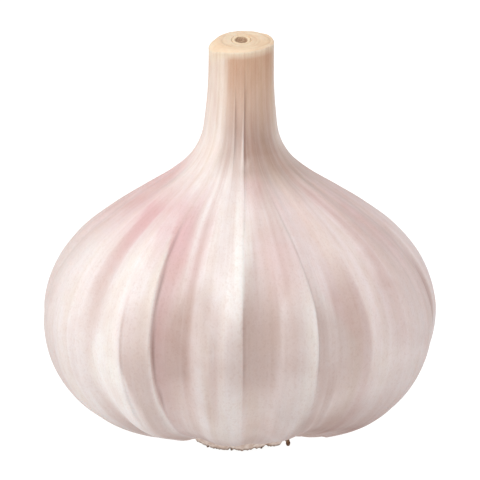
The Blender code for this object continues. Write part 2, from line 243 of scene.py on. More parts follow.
# %% [markdown]
# ## Free edges of the sheaths
#
# Each leaf sheath wraps round the bulb and ends in a free edge that runs from the neck to the
# roots. There the surface steps down to the next sheath, and the dry edge curls up a little.
# A step this sharp needs columns of the mesh close to it, so the columns near an edge are
# drawn towards it, more the nearer they are.

# %% Steps at the free edges
SHEATH_EDGES = (
    (0.55, 16.0, ((8.0, -24.6, 0.5), (15.0, -25.6, 0.8), (30.0, -26.8, 0.9), (39.0, -28.6, 0.5))),
    (0.40, 14.0, (
        (9.0, 0.8, 0.6), (28.0, 0.9, 0.8), (33.0, 1.1, 0.3),
        (36.0, 1.2, 0.2), (45.0, 4.5, 0.5), (59.5, 6.9, 0.5),
    )),
    (0.30, 22.0, ((13.0, 22.0, 0.3), (19.0, 22.6, 0.9), (27.0, 23.0, 1.0), (41.0, 20.5, 0.6))),
    (0.18, 9.0, ((6.0, -34.5, 1.0), (28.0, -35.5, 1.0))),
    (0.12, 12.0, ((43.0, -7.0, 1.0), (47.0, -8.0, 1.0), (58.0, -10.6, 1.0))),
)  # step in mm, degrees in which the skin rises again, path as height in mm, degrees, share
EDGE_FADE = 5.0  # mm of height at each end of a path
EDGE_WIDTH = 0.4  # degrees
EDGE_GRIP = 3.0  # degrees
LIP_SHARE = 0.12  # of the step
LIP_WIDTH = 0.9  # degrees


def edge_angle(path, height):
    """Where a sheath's edge runs at this height, in degrees."""
    heights, angles, _ = np.array(path).T
    return np.interp(height / MM, heights, angles)


def edge_share(path, height):
    """How much of the step shows at this height, fading to none at both ends of the path."""
    heights, _, shares = np.array(path).T
    tall = height / MM
    fade = ramp(tall, heights[0], heights[0] + EDGE_FADE)
    fade = fade * (1 - ramp(tall, heights[-1] - EDGE_FADE, heights[-1]))
    return fade * np.interp(tall, heights, shares)


def drawn_columns(degrees, height):
    """Within the grip of an edge, a column's distance from it becomes distance squared over
    the grip, so the columns crowd there and still keep their order."""
    for _, _, path in SHEATH_EDGES:
        away = wrapped(degrees - edge_angle(path, height))
        closer = np.sign(away) * away**2 / EDGE_GRIP
        degrees = np.where(np.abs(away) < EDGE_GRIP, degrees - away + closer, degrees)
    return degrees


def sheath_steps(degrees, height):
    """A fall over EDGE_WIDTH degrees that decays to the right of it, less a small Gaussian
    ridge on its left, the curled lip."""
    depth = 0.0
    for step, decay, path in SHEATH_EDGES:
        away = wrapped(degrees - edge_angle(path, height))
        fall = ramp(away, -EDGE_WIDTH / 2, EDGE_WIDTH / 2) * (1 - ramp(away, 0.0, decay))
        lip = LIP_SHARE * np.exp(-(((away + LIP_WIDTH) / LIP_WIDTH) ** 2)) * (away < 0)
        depth = depth + edge_share(path, height) * (step * MM) * (fall - lip)
    return depth


highest_step = max(step for step, _, _ in SHEATH_EDGES)
print(len(SHEATH_EDGES), "free edges, the highest step", highest_step, "mm")

# %% [markdown]
# ## Pleats
#
# As the skin dried it shrank round the bulb and gathered in fine pleats along its veins. They
# are a sum of waves round the bulb, each with a drawn strength and phase, and each swelling
# and fading along its length. Nearer the neck the same skin is gathered into less room, so
# short creases are added there, and a few single grooves lie over the backs of the cloves.

# %% Pleats, creases and grooves
PLEAT_WAVES = range(14, 72)
COARSE_PLEATS = 27
FINE_PLEAT_SHARE = 0.20
PLEAT_DEPTH = 0.030 * MM
MIDDLE_WAVE = 30  # the wave whose size PLEAT_DEPTH is
PLEAT_START = (6.0 * MM, 12.0 * MM)
PLEAT_PACE = (50, 120)  # of the swell along the skin, in radians per metre
PLEAT_SEED = 4
CREASE_WAVES = range(22, 60, 3)
CREASE_DEPTH = 0.006 * MM
CREASE_START = (37.0 * MM, 42.0 * MM)
CREASE_FADE = (45.0 * MM, 56.0 * MM)
CREASE_LOSS = 0.55
CREASE_PACE = (100, 220)
CREASE_SEED = 9
GROOVE_FADE = 6 * MM
GROOVES = (
    (-7.0, 1.6, 0.16 * MM, 8.0 * MM, 30.0 * MM),
    (-57.0, 1.2, 0.10 * MM, 12.0 * MM, 34.0 * MM),
    (-68.0, 1.5, 0.12 * MM, 10.0 * MM, 36.0 * MM),
    (28.0, 1.4, -0.10 * MM, 9.0 * MM, 33.0 * MM),
    (52.0, 0.9, 0.10 * MM, 14.0 * MM, 38.0 * MM),
    (65.5, 0.8, 0.12 * MM, 16.0 * MM, 36.0 * MM),
    (71.0, 0.8, 0.10 * MM, 18.0 * MM, 37.0 * MM),
    (103.0, 1.2, 0.12 * MM, 10.0 * MM, 35.0 * MM),
    (138.0, 1.4, 0.12 * MM, 10.0 * MM, 33.0 * MM),
    (165.0, 1.2, 0.12 * MM, 12.0 * MM, 34.0 * MM),
    (-161.0, 1.3, 0.12 * MM, 12.0 * MM, 34.0 * MM),
    (-131.0, 1.2, 0.12 * MM, 10.0 * MM, 35.0 * MM),
    (-101.0, 1.2, 0.12 * MM, 12.0 * MM, 33.0 * MM),
)  # angle, half width in degrees, depth, lowest and highest point


def drawn_wave(chance, slowest, fastest):
    """A phase round the bulb, a pace along it, and a phase along it, all drawn evenly."""
    return chance.uniform((0, slowest, 0), (2 * math.pi, fastest, 2 * math.pi))


def pleats(degrees, radius, height):
    """Waves round the bulb times a slow swell along it, weaker the finer they are."""
    chance = np.random.default_rng(PLEAT_SEED)
    depth = 0.0
    for wave in PLEAT_WAVES:
        size = PLEAT_DEPTH * chance.normal() * math.sqrt(MIDDLE_WAVE / wave)
        if wave > COARSE_PLEATS:
            size *= FINE_PLEAT_SHARE
        phase, pace, shift = drawn_wave(chance, *PLEAT_PACE)
        swell = 0.6 + 0.4 * np.sin(pace * height + shift)
        depth = depth + size * swell * np.cos(wave * np.radians(degrees) + phase)
    return depth * ramp(radius, *PLEAT_START)


def creases(degrees, height):
    """Every third wave from 22 to 58 round the bulb, where the shoulder runs into the neck."""
    chance = np.random.default_rng(CREASE_SEED)
    where = ramp(height, *CREASE_START) * (1 - CREASE_LOSS * ramp(height, *CREASE_FADE))
    depth = 0.0
    for wave in CREASE_WAVES:
        phase, pace, shift = drawn_wave(chance, *CREASE_PACE)
        swell = 0.5 + 0.5 * np.sin(pace * height + shift)
        depth = depth + chance.normal() * swell * np.cos(wave * np.radians(degrees) + phase)
    return CREASE_DEPTH * where * depth


def grooves(degrees, height):
    """Gaussian grooves that fade out at both their ends."""
    depth = 0.0
    for angle, half_width, deep, low, high in GROOVES:
        window = ramp(height, low, low + GROOVE_FADE)
        window = window * (1 - ramp(height, high - GROOVE_FADE, high))
        depth = depth + deep * window * np.exp(-((wrapped(degrees - angle) / half_width) ** 2))
    return depth


print(len(PLEAT_WAVES), "waves of pleats and", len(GROOVES), "grooves")

# %% [markdown]
# ## Torn lower border
#
# The outermost sheath was rubbed off round the roots when the bulb was cleaned. Its torn
# border lies under the cloves, and inside it the surface drops. The dry layer is only a few
# hundredths of a millimetre thick, too thin to show, so the step is made 0.22 mm high. The
# border is a radius that wanders with the angle: long waves for how far the layer tore, short
# ones for the ragged edge.

# %% Torn border under the cloves
BORDER_RADIUS = 15.5 * MM
BORDER_WANDER = 1.3 * MM
BORDER_WAVES = (2, 3, 5, 7, 11, 17, 26, 41, 60)
BORDER_STEP = 0.22 * MM
BORDER_SOFTNESS = 0.15 * MM
BORDER_TOP = 10.0 * MM
BORDER_START = (6.6 * MM, 8.5 * MM)
BORDER_SEED = 5


def torn_radius(degrees):
    """A sum of waves round the bulb, weaker the shorter they are, about BORDER_RADIUS."""
    chance = np.random.default_rng(BORDER_SEED)
    reach = 0.0
    for wave in BORDER_WAVES:
        phase = chance.uniform(0, 2 * math.pi)
        reach = reach + np.cos(wave * np.radians(degrees) + phase) / wave**0.6
    return BORDER_RADIUS + BORDER_WANDER * reach


def inside_border(degrees, radius, height):
    """1 where the outermost sheath is gone: nearer the roots than its border, under the
    cloves only."""
    inside = 1 - ramp(radius - torn_radius(degrees), -BORDER_SOFTNESS, BORDER_SOFTNESS)
    return inside * (height < BORDER_TOP) * ramp(radius, *BORDER_START)


border = torn_radius(np.arange(-180.0, 180.0)) / MM
print("the border runs", border.min().round(1), "to", border.max().round(1), "mm from the middle")

# %% [markdown]
# ## The grid of the skin
#
# The whole closed surface is one grid: rows run from the bottom of the stalk's hole, up its
# wall, out over the cut neck, down the skin and up into the root plate's socket. The columns
# go round. Every wave is pushed a little inwards, so the surface stays in the solid's box.

# %% Rows of the grid
COLUMNS = 416
STALK_RADIUS = 1.45 * MM
STALK_OVAL = 1.6
GAP = 0.3 * MM
SEAM = 0.05 * MM
HOLE_DEPTH = 15.0 * MM
PLATE_COLLAR_RADIUS = 5.3 * MM
PLATE_TOP = 3.6 * MM
SOCKET_RADIUS = PLATE_COLLAR_RADIUS + GAP
CUT_ROWS = 22
FINE_INSET = 0.05 * MM

hole_floor = BULB_HEIGHT - HOLE_DEPTH
hole_rows = np.array(
    [
        (0.6 * STALK_RADIUS, hole_floor),
        (STALK_RADIUS + GAP, hole_floor),
        (STALK_RADIUS + GAP, BULB_HEIGHT - 1.5 * MM),
        (STALK_RADIUS + SEAM, BULB_HEIGHT - 0.7 * MM),
    ]
)
face_radius = np.linspace(STALK_RADIUS + SEAM, NECK_RADIUS - RIM_ROUNDING, CUT_ROWS)
face_rows = np.stack([face_radius, np.full(CUT_ROWS, BULB_HEIGHT)], axis=1)
rim_turn = np.radians([25.0, 50.0, 72.0])
rim_rows = np.stack(
    [
        NECK_RADIUS - RIM_ROUNDING * (1 - np.sin(rim_turn)),
        BULB_HEIGHT - RIM_ROUNDING * (1 - np.cos(rim_turn)),
    ],
    axis=1,
)
socket_rows = np.array(
    [
        (SOCKET_RADIUS, skin_line[-1, 1] + 0.1 * MM),
        (SOCKET_RADIUS, PLATE_TOP + GAP),
        (0.5 * SOCKET_RADIUS, PLATE_TOP + GAP),
    ]
)
rows = np.vstack([hole_rows, face_rows, rim_rows, skin_line, socket_rows])
first_skin = len(hole_rows) + CUT_ROWS + len(rim_rows)
row_number = np.arange(len(rows))[:, None]
on_skin = (row_number >= first_skin) & (row_number < first_skin + SKIN_ROWS)
on_cut = (row_number >= len(hole_rows)) & (row_number < first_skin)
normal = np.zeros_like(rows)
normal[first_skin : first_skin + SKIN_ROWS] = skin_normal
print(len(rows), "rows by", COLUMNS, "columns")

# %% [markdown]
# The neck was cut across with a knife, on a slant, through four layers of sheath round the
# stalk. The layers have dried by unlike amounts, so narrow grooves part them, and the rim has
# crumbled and sunk on its left side. The cut follows the stalk's oval in the middle and the
# neck's circle at the rim.

# %% Points of the grid
CUT_SLOPE = 0.163
NECK_LEAN = 0.2 * MM
LAYER_GROOVES = (
    (2.30 * MM, 0.06 * MM, 0.10 * MM),
    (2.95 * MM, 0.09 * MM, 0.13 * MM),
    (3.60 * MM, 0.06 * MM, 0.10 * MM),
    (4.15 * MM, 0.10 * MM, 0.12 * MM),
)  # radius, depth, half width
WORN_LEFT = 0.95 * MM
WORN_INSIDE = 3.0 * MM
WORN_DEPTH = 4.0 * MM
LEAN_START = 42.0 * MM
SLANT_START = 52.0 * MM
NECK_TOP = 62.0 * MM


def leaned(points):
    """The neck's lean to the right and the slant of its cut, which fade out down the neck."""
    up_neck = ramp(points[..., 2], LEAN_START, NECK_TOP)
    near_cut = ramp(points[..., 2], SLANT_START, NECK_TOP)
    points[..., 0] += NECK_LEAN * up_neck
    points[..., 2] += CUT_SLOPE * points[..., 1] * near_cut
    return points


def layer_grooves(degrees, radius):
    """Gaussian grooves round the stalk whose radius wanders a little with the angle."""
    turn = np.radians(degrees)
    depth = 0.0
    for k, (groove, deep, half_width) in enumerate(LAYER_GROOVES):
        wander = 0.12 * MM * np.sin(2 * turn + 1.7 * k) + 0.06 * MM * np.sin(5 * turn + 2.3 * k)
        strength = 0.6 + 0.4 * np.sin(turn + 2.1 * k)
        depth = depth + deep * strength * np.exp(-(((radius - groove - wander) / half_width) ** 2))
    return depth


def worn_rim(degrees, radius, height):
    """A drop that grows with the cube of how far left a point lies and with the square of how
    far out, plus small waves; it fades out down the neck."""
    turn = np.radians(degrees)
    leftness = ((1 - np.sin(turn)) / 2) ** 3
    waves = 0.05 * MM * (1 + np.sin(5 * turn + 1.0)) + 0.03 * MM * (1 + np.sin(11 * turn))
    outwards = ramp(radius, WORN_INSIDE, NECK_RADIUS) ** 2
    near_top = ramp(height, BULB_HEIGHT - WORN_DEPTH, BULB_HEIGHT)
    return (WORN_LEFT * leftness + waves) * outwards * near_top


base_degrees = np.linspace(-180.0, 180.0, COLUMNS, endpoint=False)[None, :]
radius_grid = np.repeat(rows[:, :1], COLUMNS, axis=1)
height_grid = np.repeat(rows[:, 1:], COLUMNS, axis=1)
degrees_grid = drawn_columns(base_degrees, height_grid)
turn_grid = np.radians(degrees_grid)
bared = on_skin * inside_border(degrees_grid, radius_grid, height_grid)

depth_grid = BORDER_STEP * bared + on_skin * (
    valley_strength(radius_grid, height_grid) * valley_depth(degrees_grid)
    + foot_lift(degrees_grid, radius_grid, height_grid)
    + sheath_steps(degrees_grid, height_grid)
    + pleats(degrees_grid, radius_grid, height_grid)
    + creases(degrees_grid, height_grid)
    + grooves(degrees_grid, height_grid)
    + FINE_INSET
)
skin_radius = radius_grid - normal[:, :1] * depth_grid
skin_height = height_grid - normal[:, 1:] * depth_grid
skin_height -= on_cut * layer_grooves(degrees_grid, radius_grid)
skin_height -= (on_cut | on_skin) * worn_rim(degrees_grid, radius_grid, height_grid)

to_rim = ramp(radius_grid, STALK_RADIUS + SEAM, NECK_RADIUS - RIM_ROUNDING)
oval = np.where(row_number < first_skin, STALK_OVAL + (1 - STALK_OVAL) * to_rim, 1.0)
across = skin_radius * np.sin(turn_grid)
towards_back = -skin_radius * np.cos(turn_grid) * oval
skin_points = leaned(np.stack([across, towards_back, skin_height], axis=-1))
print("deepest point of the relief:", round(float(depth_grid.max()) / MM, 2), "mm")

# %% [markdown]
# A grid becomes a surface when neighbours are joined in fours. The first and the last row
# close on one point each, or else on each other, so nothing is left open. A piece is one or
# more such surfaces in one mesh.

# %% Surfaces and pieces
def closed_surface(grid, top=None, bottom=None):
    """Points, quads and triangles of a grid whose columns go round. With a top and a bottom
    point, fans close the ends; without them the last row joins the first, as on a ring."""
    count, around = grid.shape[:2]
    index = np.arange(count * around).reshape(count, around)
    below, beside = np.roll(index, -1, axis=0), np.roll(index, -1, axis=1)
    quads = np.stack([index, below, np.roll(below, -1, axis=1), beside], axis=-1)
    points = grid.reshape(-1, 3)
    if top is None:
        return points, quads.reshape(-1, 4), np.empty((0, 3), int)
    peak = np.full(around, count * around)
    upper_fan = np.stack([peak, index[0], beside[0]], axis=1)
    lower_fan = np.stack([peak + 1, beside[-1], index[-1]], axis=1)
    fans = np.vstack([upper_fan, lower_fan])
    return np.vstack([points, top, bottom]), quads[:-1].reshape(-1, 4), fans


def enclosed(points, quads, triangles):
    """The volume inside: a sixth of the sum of a x b . c over all triangles."""
    every = np.vstack([triangles, quads[:, [0, 1, 2]], quads[:, [0, 2, 3]]])
    a, b, c = points[every[:, 0]], points[every[:, 1]], points[every[:, 2]]
    return float((np.cross(a, b) * c).sum() / 6)


def new_piece(name, surfaces):
    """One mesh of all the surfaces, as a piece that rides with the root body. Prints its size,
    and whether each surface faces outwards."""
    starts = np.cumsum([0] + [len(points) for points, _, _ in surfaces])
    faces = []
    for start, (_, quads, triangles) in zip(starts, surfaces):
        faces += (quads + start).tolist() + (triangles + start).tolist()
    mesh = bpy.data.meshes.new(name)
    mesh.from_pydata(np.vstack([points for points, _, _ in surfaces]), [], faces)
    mesh.update()
    mesh.shade_smooth()
    piece = bpy.data.objects.new(name, mesh)
    bpy.context.scene.collection.objects.link(piece)
    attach(piece, "root")
    outward = all(enclosed(*surface) > 0 for surface in surfaces)
    print(name, "has", len(surfaces), "closed surfaces,", len(faces), "faces, outwards:", outward)
    return piece


hole_middle = leaned(np.array([[0.0, 0.0, hole_floor]]))
socket_middle = np.array([[0.0, 0.0, PLATE_TOP + GAP]])
skin_surface = closed_surface(skin_points, hole_middle, socket_middle)
wrapper_skin = new_piece("wrapper_skin", [skin_surface])
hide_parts("bulb")

# %% [markdown]
# ## Colour that follows the growth, and painted shade and highlight
#
# The colour of the skin isn't random: between two cloves it lies on darker, drier layers, and
# there it looks tan, darkened further by painted shade. Lower down the same gaps are a paler
# rose. Round the shoulder a pink blush follows the tops of the cloves, and the neck is cream,
# with browner inner layers where the outer one stops, painted shade on the neck's right side
# and its painted shadow on the shoulder below, and a tan part under the cut rim. Painted
# highlights lie on the crests of the ridges and on the curled lips of the free edges. The
# underside is painted darker as shade, a little more so at the right. Each of these is a
# number from 0 to 1 at every point, worked out from the angle and the height. They could be
# painted by hand. As bands with a left and a right edge for each height they stay exact, and
# they can be moved like any other value.

# %% Bands of colour
# Tan between the cloves, partly the skin's colour and partly painted shade of the gaps and of the
# bulb's sides.
VALLEY_TAN_AND_SHADE_BANDS = (
    (0.6, 4.0, (
        (8, -24.5, -15.5, 0.05), (12, -25.3, -15.0, 0.22), (15, -25.7, -14.5, 0.45),
        (18, -26.0, -14.2, 0.80), (22, -26.3, -14.0, 0.88), (27, -26.5, -14.0, 0.78),
        (30, -26.8, -14.5, 0.40), (36, -28.0, -14.5, 0.12), (41, -29.0, -15.0, 0.0),
    )),
    (3.0, 3.5, (
        (13, -22.5, -14.5, 0.0), (17, -22.5, -14.3, 0.85), (22, -23.5, -14.0, 0.94),
        (26, -22.0, -14.0, 0.94), (29, -19.0, -14.0, 0.72), (32, -18.0, -14.5, 0.45),
        (37, -18.0, -14.5, 0.30), (41, -18.0, -15.0, 0.0),
    )),
    (1.6, 1.6, (
        (10, -8.8, -5.6, 0.0), (14, -8.8, -5.6, 0.15), (18, -8.8, -5.6, 0.42),
        (23, -8.8, -5.5, 0.50), (26, -8.4, -5.5, 0.30), (30, -8.0, -5.5, 0.0),
    )),
    (0.8, 5.5, (
        (9, 0.6, 11.0, 0.0), (14, 0.6, 11.0, 0.16), (17, 0.6, 11.5, 0.60),
        (20, 0.6, 12.0, 0.78), (25, 0.6, 12.5, 0.88), (28, 1.0, 13.0, 0.76),
        (31, 1.3, 13.5, 0.56), (34, 1.6, 14.0, 0.36), (38, 2.0, 14.0, 0.12),
        (41, 2.0, 14.0, 0.0),
    )),
    (4.0, 6.0, (
        (11, 10.5, 19.0, 0.0), (15, 10.5, 19.0, 0.20), (18, 11.0, 19.0, 0.44),
        (25, 11.0, 19.0, 0.56), (29, 12.0, 19.0, 0.30), (33, 13.0, 20.0, 0.20),
        (37, 14.0, 20.0, 0.0),
    )),
    (36.0, 18.0, (
        (6, -130.0, -69.0, 0.30), (10, -130.0, -67.0, 0.38), (14, -130.0, -67.0, 0.42),
        (20, -130.0, -68.0, 0.38), (27, -130.0, -69.0, 0.36), (36, -130.0, -68.0, 0.36),
        (39, -130.0, -64.0, 0.44), (42, -130.0, -60.0, 0.44), (44, -130.0, -60.0, 0.16),
        (46, -130.0, -60.0, 0.0),
    )),
    (3.0, 4.0, (
        (8, -15.5, -8.5, 0.06), (13, -15.5, -8.5, 0.24), (20, -15.5, -8.5, 0.40),
        (25, -15.5, -8.5, 0.54), (29, -15.5, -8.5, 0.50), (33, -15.5, -9.5, 0.0),
    )),
    (4.0, 1.0, (
        (13, -5.0, 0.6, 0.0), (16, -5.0, 0.6, 0.26), (19, -5.0, 0.6, 0.46),
        (23, -4.5, 0.6, 0.46), (27, -4.0, 0.6, 0.0),
    )),
    (4.5, 5.5, (
        (26, 1.5, 13.0, 0.0), (28, 3.0, 14.0, 0.55), (31, 6.0, 17.5, 0.48),
        (34, 6.5, 18.5, 0.40), (39, 7.5, 21.0, 0.34), (41.5, 8.0, 22.0, 0.30),
        (43, 8.0, 22.0, 0.0),
    )),
    (1.2, 2.5, (
        (8, 22.0, 27.0, 0.06), (13, 22.3, 27.0, 0.22), (18, 22.4, 27.0, 0.50),
        (25, 22.9, 27.3, 0.75), (28, 22.9, 27.0, 0.50), (31, 22.5, 26.0, 0.25),
        (34, 22.0, 25.0, 0.0),
    )),
    (2.8, 2.0, (
        (11, 29.0, 40.8, 0.0), (14, 29.0, 40.8, 0.20), (18, 29.0, 40.8, 0.42),
        (23, 29.2, 40.7, 0.64), (26, 29.4, 40.5, 0.68), (29.5, 29.8, 40.2, 0.62),
        (31.5, 30.0, 40.0, 0.36), (35, 30.0, 40.0, 0.0),
    )),
    (6.0, 8.0, (
        (5, 29.0, 41.0, 0.0), (9, 29.0, 41.0, 0.16), (14, 29.0, 41.0, 0.18),
        (18, 29.0, 41.0, 0.0),
    )),
    (2.0, 2.0, (
        (8, 26.0, 30.0, 0.40), (18, 26.0, 30.0, 0.40), (25, 26.0, 30.5, 0.55),
        (30, 26.0, 30.5, 0.15), (32, 26.0, 30.5, 0.0),
    )),
    (5.0, 8.0, (
        (17, 44.0, 80.0, 0.0), (22, 44.0, 80.0, 0.18), (28, 46.0, 80.0, 0.32),
        (31, 50.0, 80.0, 0.34), (34, 52.0, 80.0, 0.46), (41, 49.5, 80.0, 0.42),
        (44, 47.0, 80.0, 0.0),
    )),
    (0.8, 1.0, (
        (6, -32.0, -26.0, 0.20), (9, -31.5, -26.0, 0.42), (12, -32.5, -26.2, 0.40),
        (18, -35.4, -26.4, 0.52), (22, -35.4, -26.8, 0.32), (25, -35.5, -26.8, 0.24),
        (28, -35.5, -27.2, 0.0),
    )),
    (20.0, 24.0, (
        (33, 58.0, 110.0, 0.0), (37, 58.0, 110.0, 0.26), (41, 53.0, 110.0, 0.50),
        (43.5, 54.0, 110.0, 0.74), (45.5, 56.0, 110.0, 0.58), (48, 56.0, 110.0, 0.0),
    )),
    (3.5, 3.5, (
        (20, -53.0, -47.0, 0.0), (26, -53.0, -47.0, 0.20), (34, -53.5, -46.5, 0.22),
        (39, -54.0, -46.5, 0.0),
    )),
)  # bands as softness of each side in degrees, and rows of height in mm, left, right, strength
ROSE_BANDS = (
    (0.6, 4.0, (
        (6, -24.0, -15.0, 0.34), (11, -25.2, -15.0, 0.50), (15, -25.7, -14.5, 0.60),
        (20, -26.1, -14.2, 0.30), (28, -26.5, -14.2, 0.15), (33, -27.0, -15.0, 0.0),
    )),
    (1.0, 5.5, (
        (6, 0.6, 12.0, 0.36), (12, 0.6, 11.5, 0.34), (16, 0.6, 11.5, 0.60),
        (20, 0.6, 12.0, 0.30), (28, 0.8, 12.5, 0.10), (31, 0.8, 12.5, 0.0),
    )),
    (1.6, 1.6, (
        (8, -9.5, -6.5, 0.10), (13, -9.5, -6.3, 0.40), (17, -9.3, -6.0, 0.55),
        (21, -9.0, -5.8, 0.15), (24, -9.0, -5.8, 0.0),
    )),
    (3.0, 5.0, (
        (5, 22.0, 42.0, 0.30), (12, 22.2, 42.0, 0.36), (17, 22.4, 41.0, 0.36),
        (22, 22.5, 41.0, 0.20), (27, 22.5, 41.0, 0.0),
    )),
    (0.8, 1.0, (
        (5, -32.5, -26.8, 0.40), (12, -33.5, -26.8, 0.40), (20, -35.4, -26.8, 0.30),
        (26, -35.5, -26.8, 0.20), (29, -35.5, -27.2, 0.0),
    )),
)
BLUSH_BANDS = (
    (6.0, 6.0, (
        (26, -53.0, -47.0, 0.0), (29, -53.0, -47.0, 0.08), (31, -53.0, -47.0, 0.18),
        (34, -53.0, -47.0, 0.46), (37, -55.0, -45.5, 0.78), (39, -58.0, -44.0, 0.76),
        (41, -62.0, -42.0, 0.14), (43, -62.0, -42.0, 0.0),
    )),
    (14.0, 9.0, (
        (33, -80.0, -24.0, 0.0), (37.2, -80.0, -24.0, 0.36), (39.2, -84.0, -25.0, 0.56),
        (40.8, -84.0, -32.0, 0.34), (42.2, -84.0, -40.0, 0.12), (43.5, -84.0, -40.0, 0.0),
    )),
    (20.0, 14.0, (
        (31, -125.0, -70.0, 0.0), (35, -125.0, -70.0, 0.20), (39, -125.0, -70.0, 0.36),
        (41, -125.0, -68.0, 0.54), (43, -125.0, -68.0, 0.50), (45, -125.0, -68.0, 0.20),
        (46.5, -125.0, -68.0, 0.0),
    )),
    (3.0, 3.0, (
        (31, -34.0, -29.0, 0.0), (34, -34.0, -29.0, 0.22), (37, -38.5, -30.0, 0.52),
        (40, -38.0, -30.0, 0.0),
    )),
    (1.2, 5.5, (
        (9, -25.2, -21.5, 0.10), (14, -25.8, -22.0, 0.20), (20, -26.1, -22.5, 0.24),
        (26, -26.5, -22.5, 0.30), (30, -26.8, -21.5, 0.42), (34, -27.6, -20.0, 0.66),
        (37, -30.5, -21.0, 0.74), (39, -33.0, -22.0, 0.54), (41, -33.0, -22.0, 0.26),
        (43, -30.0, -20.0, 0.0),
    )),
    (4.0, 4.0, (
        (28, -18.5, -15.0, 0.0), (33, -18.5, -14.0, 0.26), (37, -18.5, -12.0, 0.24),
        (41, -18.5, -12.0, 0.0),
    )),
    (8.0, 6.0, (
        (27, 8.0, 24.0, 0.0), (31, 8.0, 24.0, 0.20), (35, 6.0, 24.0, 0.28),
        (38, 6.0, 22.0, 0.10), (40, 6.0, 22.0, 0.0),
    )),
    (5.0, 7.0, (
        (37, 1.0, 11.0, 0.0), (40, 2.0, 14.0, 0.20), (42.5, 2.0, 18.0, 0.26),
        (44, 2.0, 18.0, 0.0),
    )),
    (4.0, 30.0, (
        (12, 38.0, 105.0, 0.10), (22, 36.0, 105.0, 0.14), (32, 24.0, 105.0, 0.20),
        (40, 20.0, 105.0, 0.28), (43, 20.0, 105.0, 0.0),
    )),
    (3.0, 3.0, (
        (24, 62.0, 70.0, 0.0), (31, 62.0, 70.0, 0.25), (38, 60.0, 72.0, 0.40),
        (41, 60.0, 72.0, 0.0),
    )),
    (30.0, 26.0, (
        (32, 104.0, 146.0, 0.0), (36, 104.0, 146.0, 0.16), (39.5, 102.0, 148.0, 0.36),
        (42, 102.0, 148.0, 0.20), (45, 102.0, 148.0, 0.0),
    )),
    (4.0, 5.0, (
        (22, 117.0, 124.0, 0.0), (30, 117.0, 124.0, 0.45), (37, 115.0, 126.0, 0.66),
        (41, 112.0, 128.0, 0.36), (44, 110.0, 130.0, 0.0),
    )),
    (30.0, 30.0, (
        (32, 190.0, 240.0, 0.0), (36, 190.0, 240.0, 0.16), (39.5, 188.0, 242.0, 0.38),
        (42, 188.0, 242.0, 0.20), (45, 188.0, 242.0, 0.0),
    )),
    (4.0, 4.0, (
        (22, 211.0, 217.0, 0.0), (30, 211.0, 217.0, 0.45), (37, 209.0, 219.0, 0.85),
        (41, 208.0, 219.0, 0.0),
    )),
    (4.0, 4.0, (
        (24, 176.0, 184.0, 0.0), (32, 176.0, 184.0, 0.50), (38, 175.0, 186.0, 0.80),
        (41, 175.0, 186.0, 0.0),
    )),
)
# Painted highlight: lighter colour on the crests of the ridges and on the curled lips of the free
# edges.
HIGHLIGHT_BANDS = (
    (5.0, 3.0, (
        (22, -4.5, 0.5, 0.0), (27, -6.0, 1.5, 0.45), (31, -4.0, 2.5, 0.85),
        (35, -3.5, 4.5, 1.0), (38, -3.5, 6.0, 0.90), (41, -3.0, 7.0, 0.55),
        (43, -2.0, 5.0, 0.20), (46, 0.0, 4.5, 0.0),
    )),
    (3.0, 0.5, (
        (17, -28.6, -26.0, 0.0), (22, -28.8, -26.3, 0.24), (28, -29.4, -26.8, 0.34),
        (33, -31.0, -27.6, 0.22), (36, -32.0, -28.6, 0.0),
    )),
    (3.5, 1.4, (
        (13, 18.0, 22.0, 0.12), (19, 18.5, 22.3, 0.26), (26, 19.0, 22.8, 0.28),
        (31, 19.0, 22.4, 0.10), (35, 18.5, 21.0, 0.0),
    )),
    (3.0, 2.0, (
        (9, -49.0, -35.5, 0.30), (15, -51.0, -35.5, 0.76), (18, -50.0, -36.0, 0.70),
        (21, -47.0, -36.0, 0.55), (24, -45.0, -37.0, 0.30), (36, -41.0, -33.0, 0.45),
        (38, -41.0, -34.0, 0.0),
    )),
    (1.2, 4.0, (
        (10, 41.5, 52.0, 0.05), (18, 41.5, 54.0, 0.26), (23, 41.5, 48.0, 0.0),
        (30, 34.0, 48.0, 0.0), (34, 34.0, 48.0, 0.30), (38, 36.0, 50.0, 0.30),
        (41, 38.0, 48.0, 0.0),
    )),
)
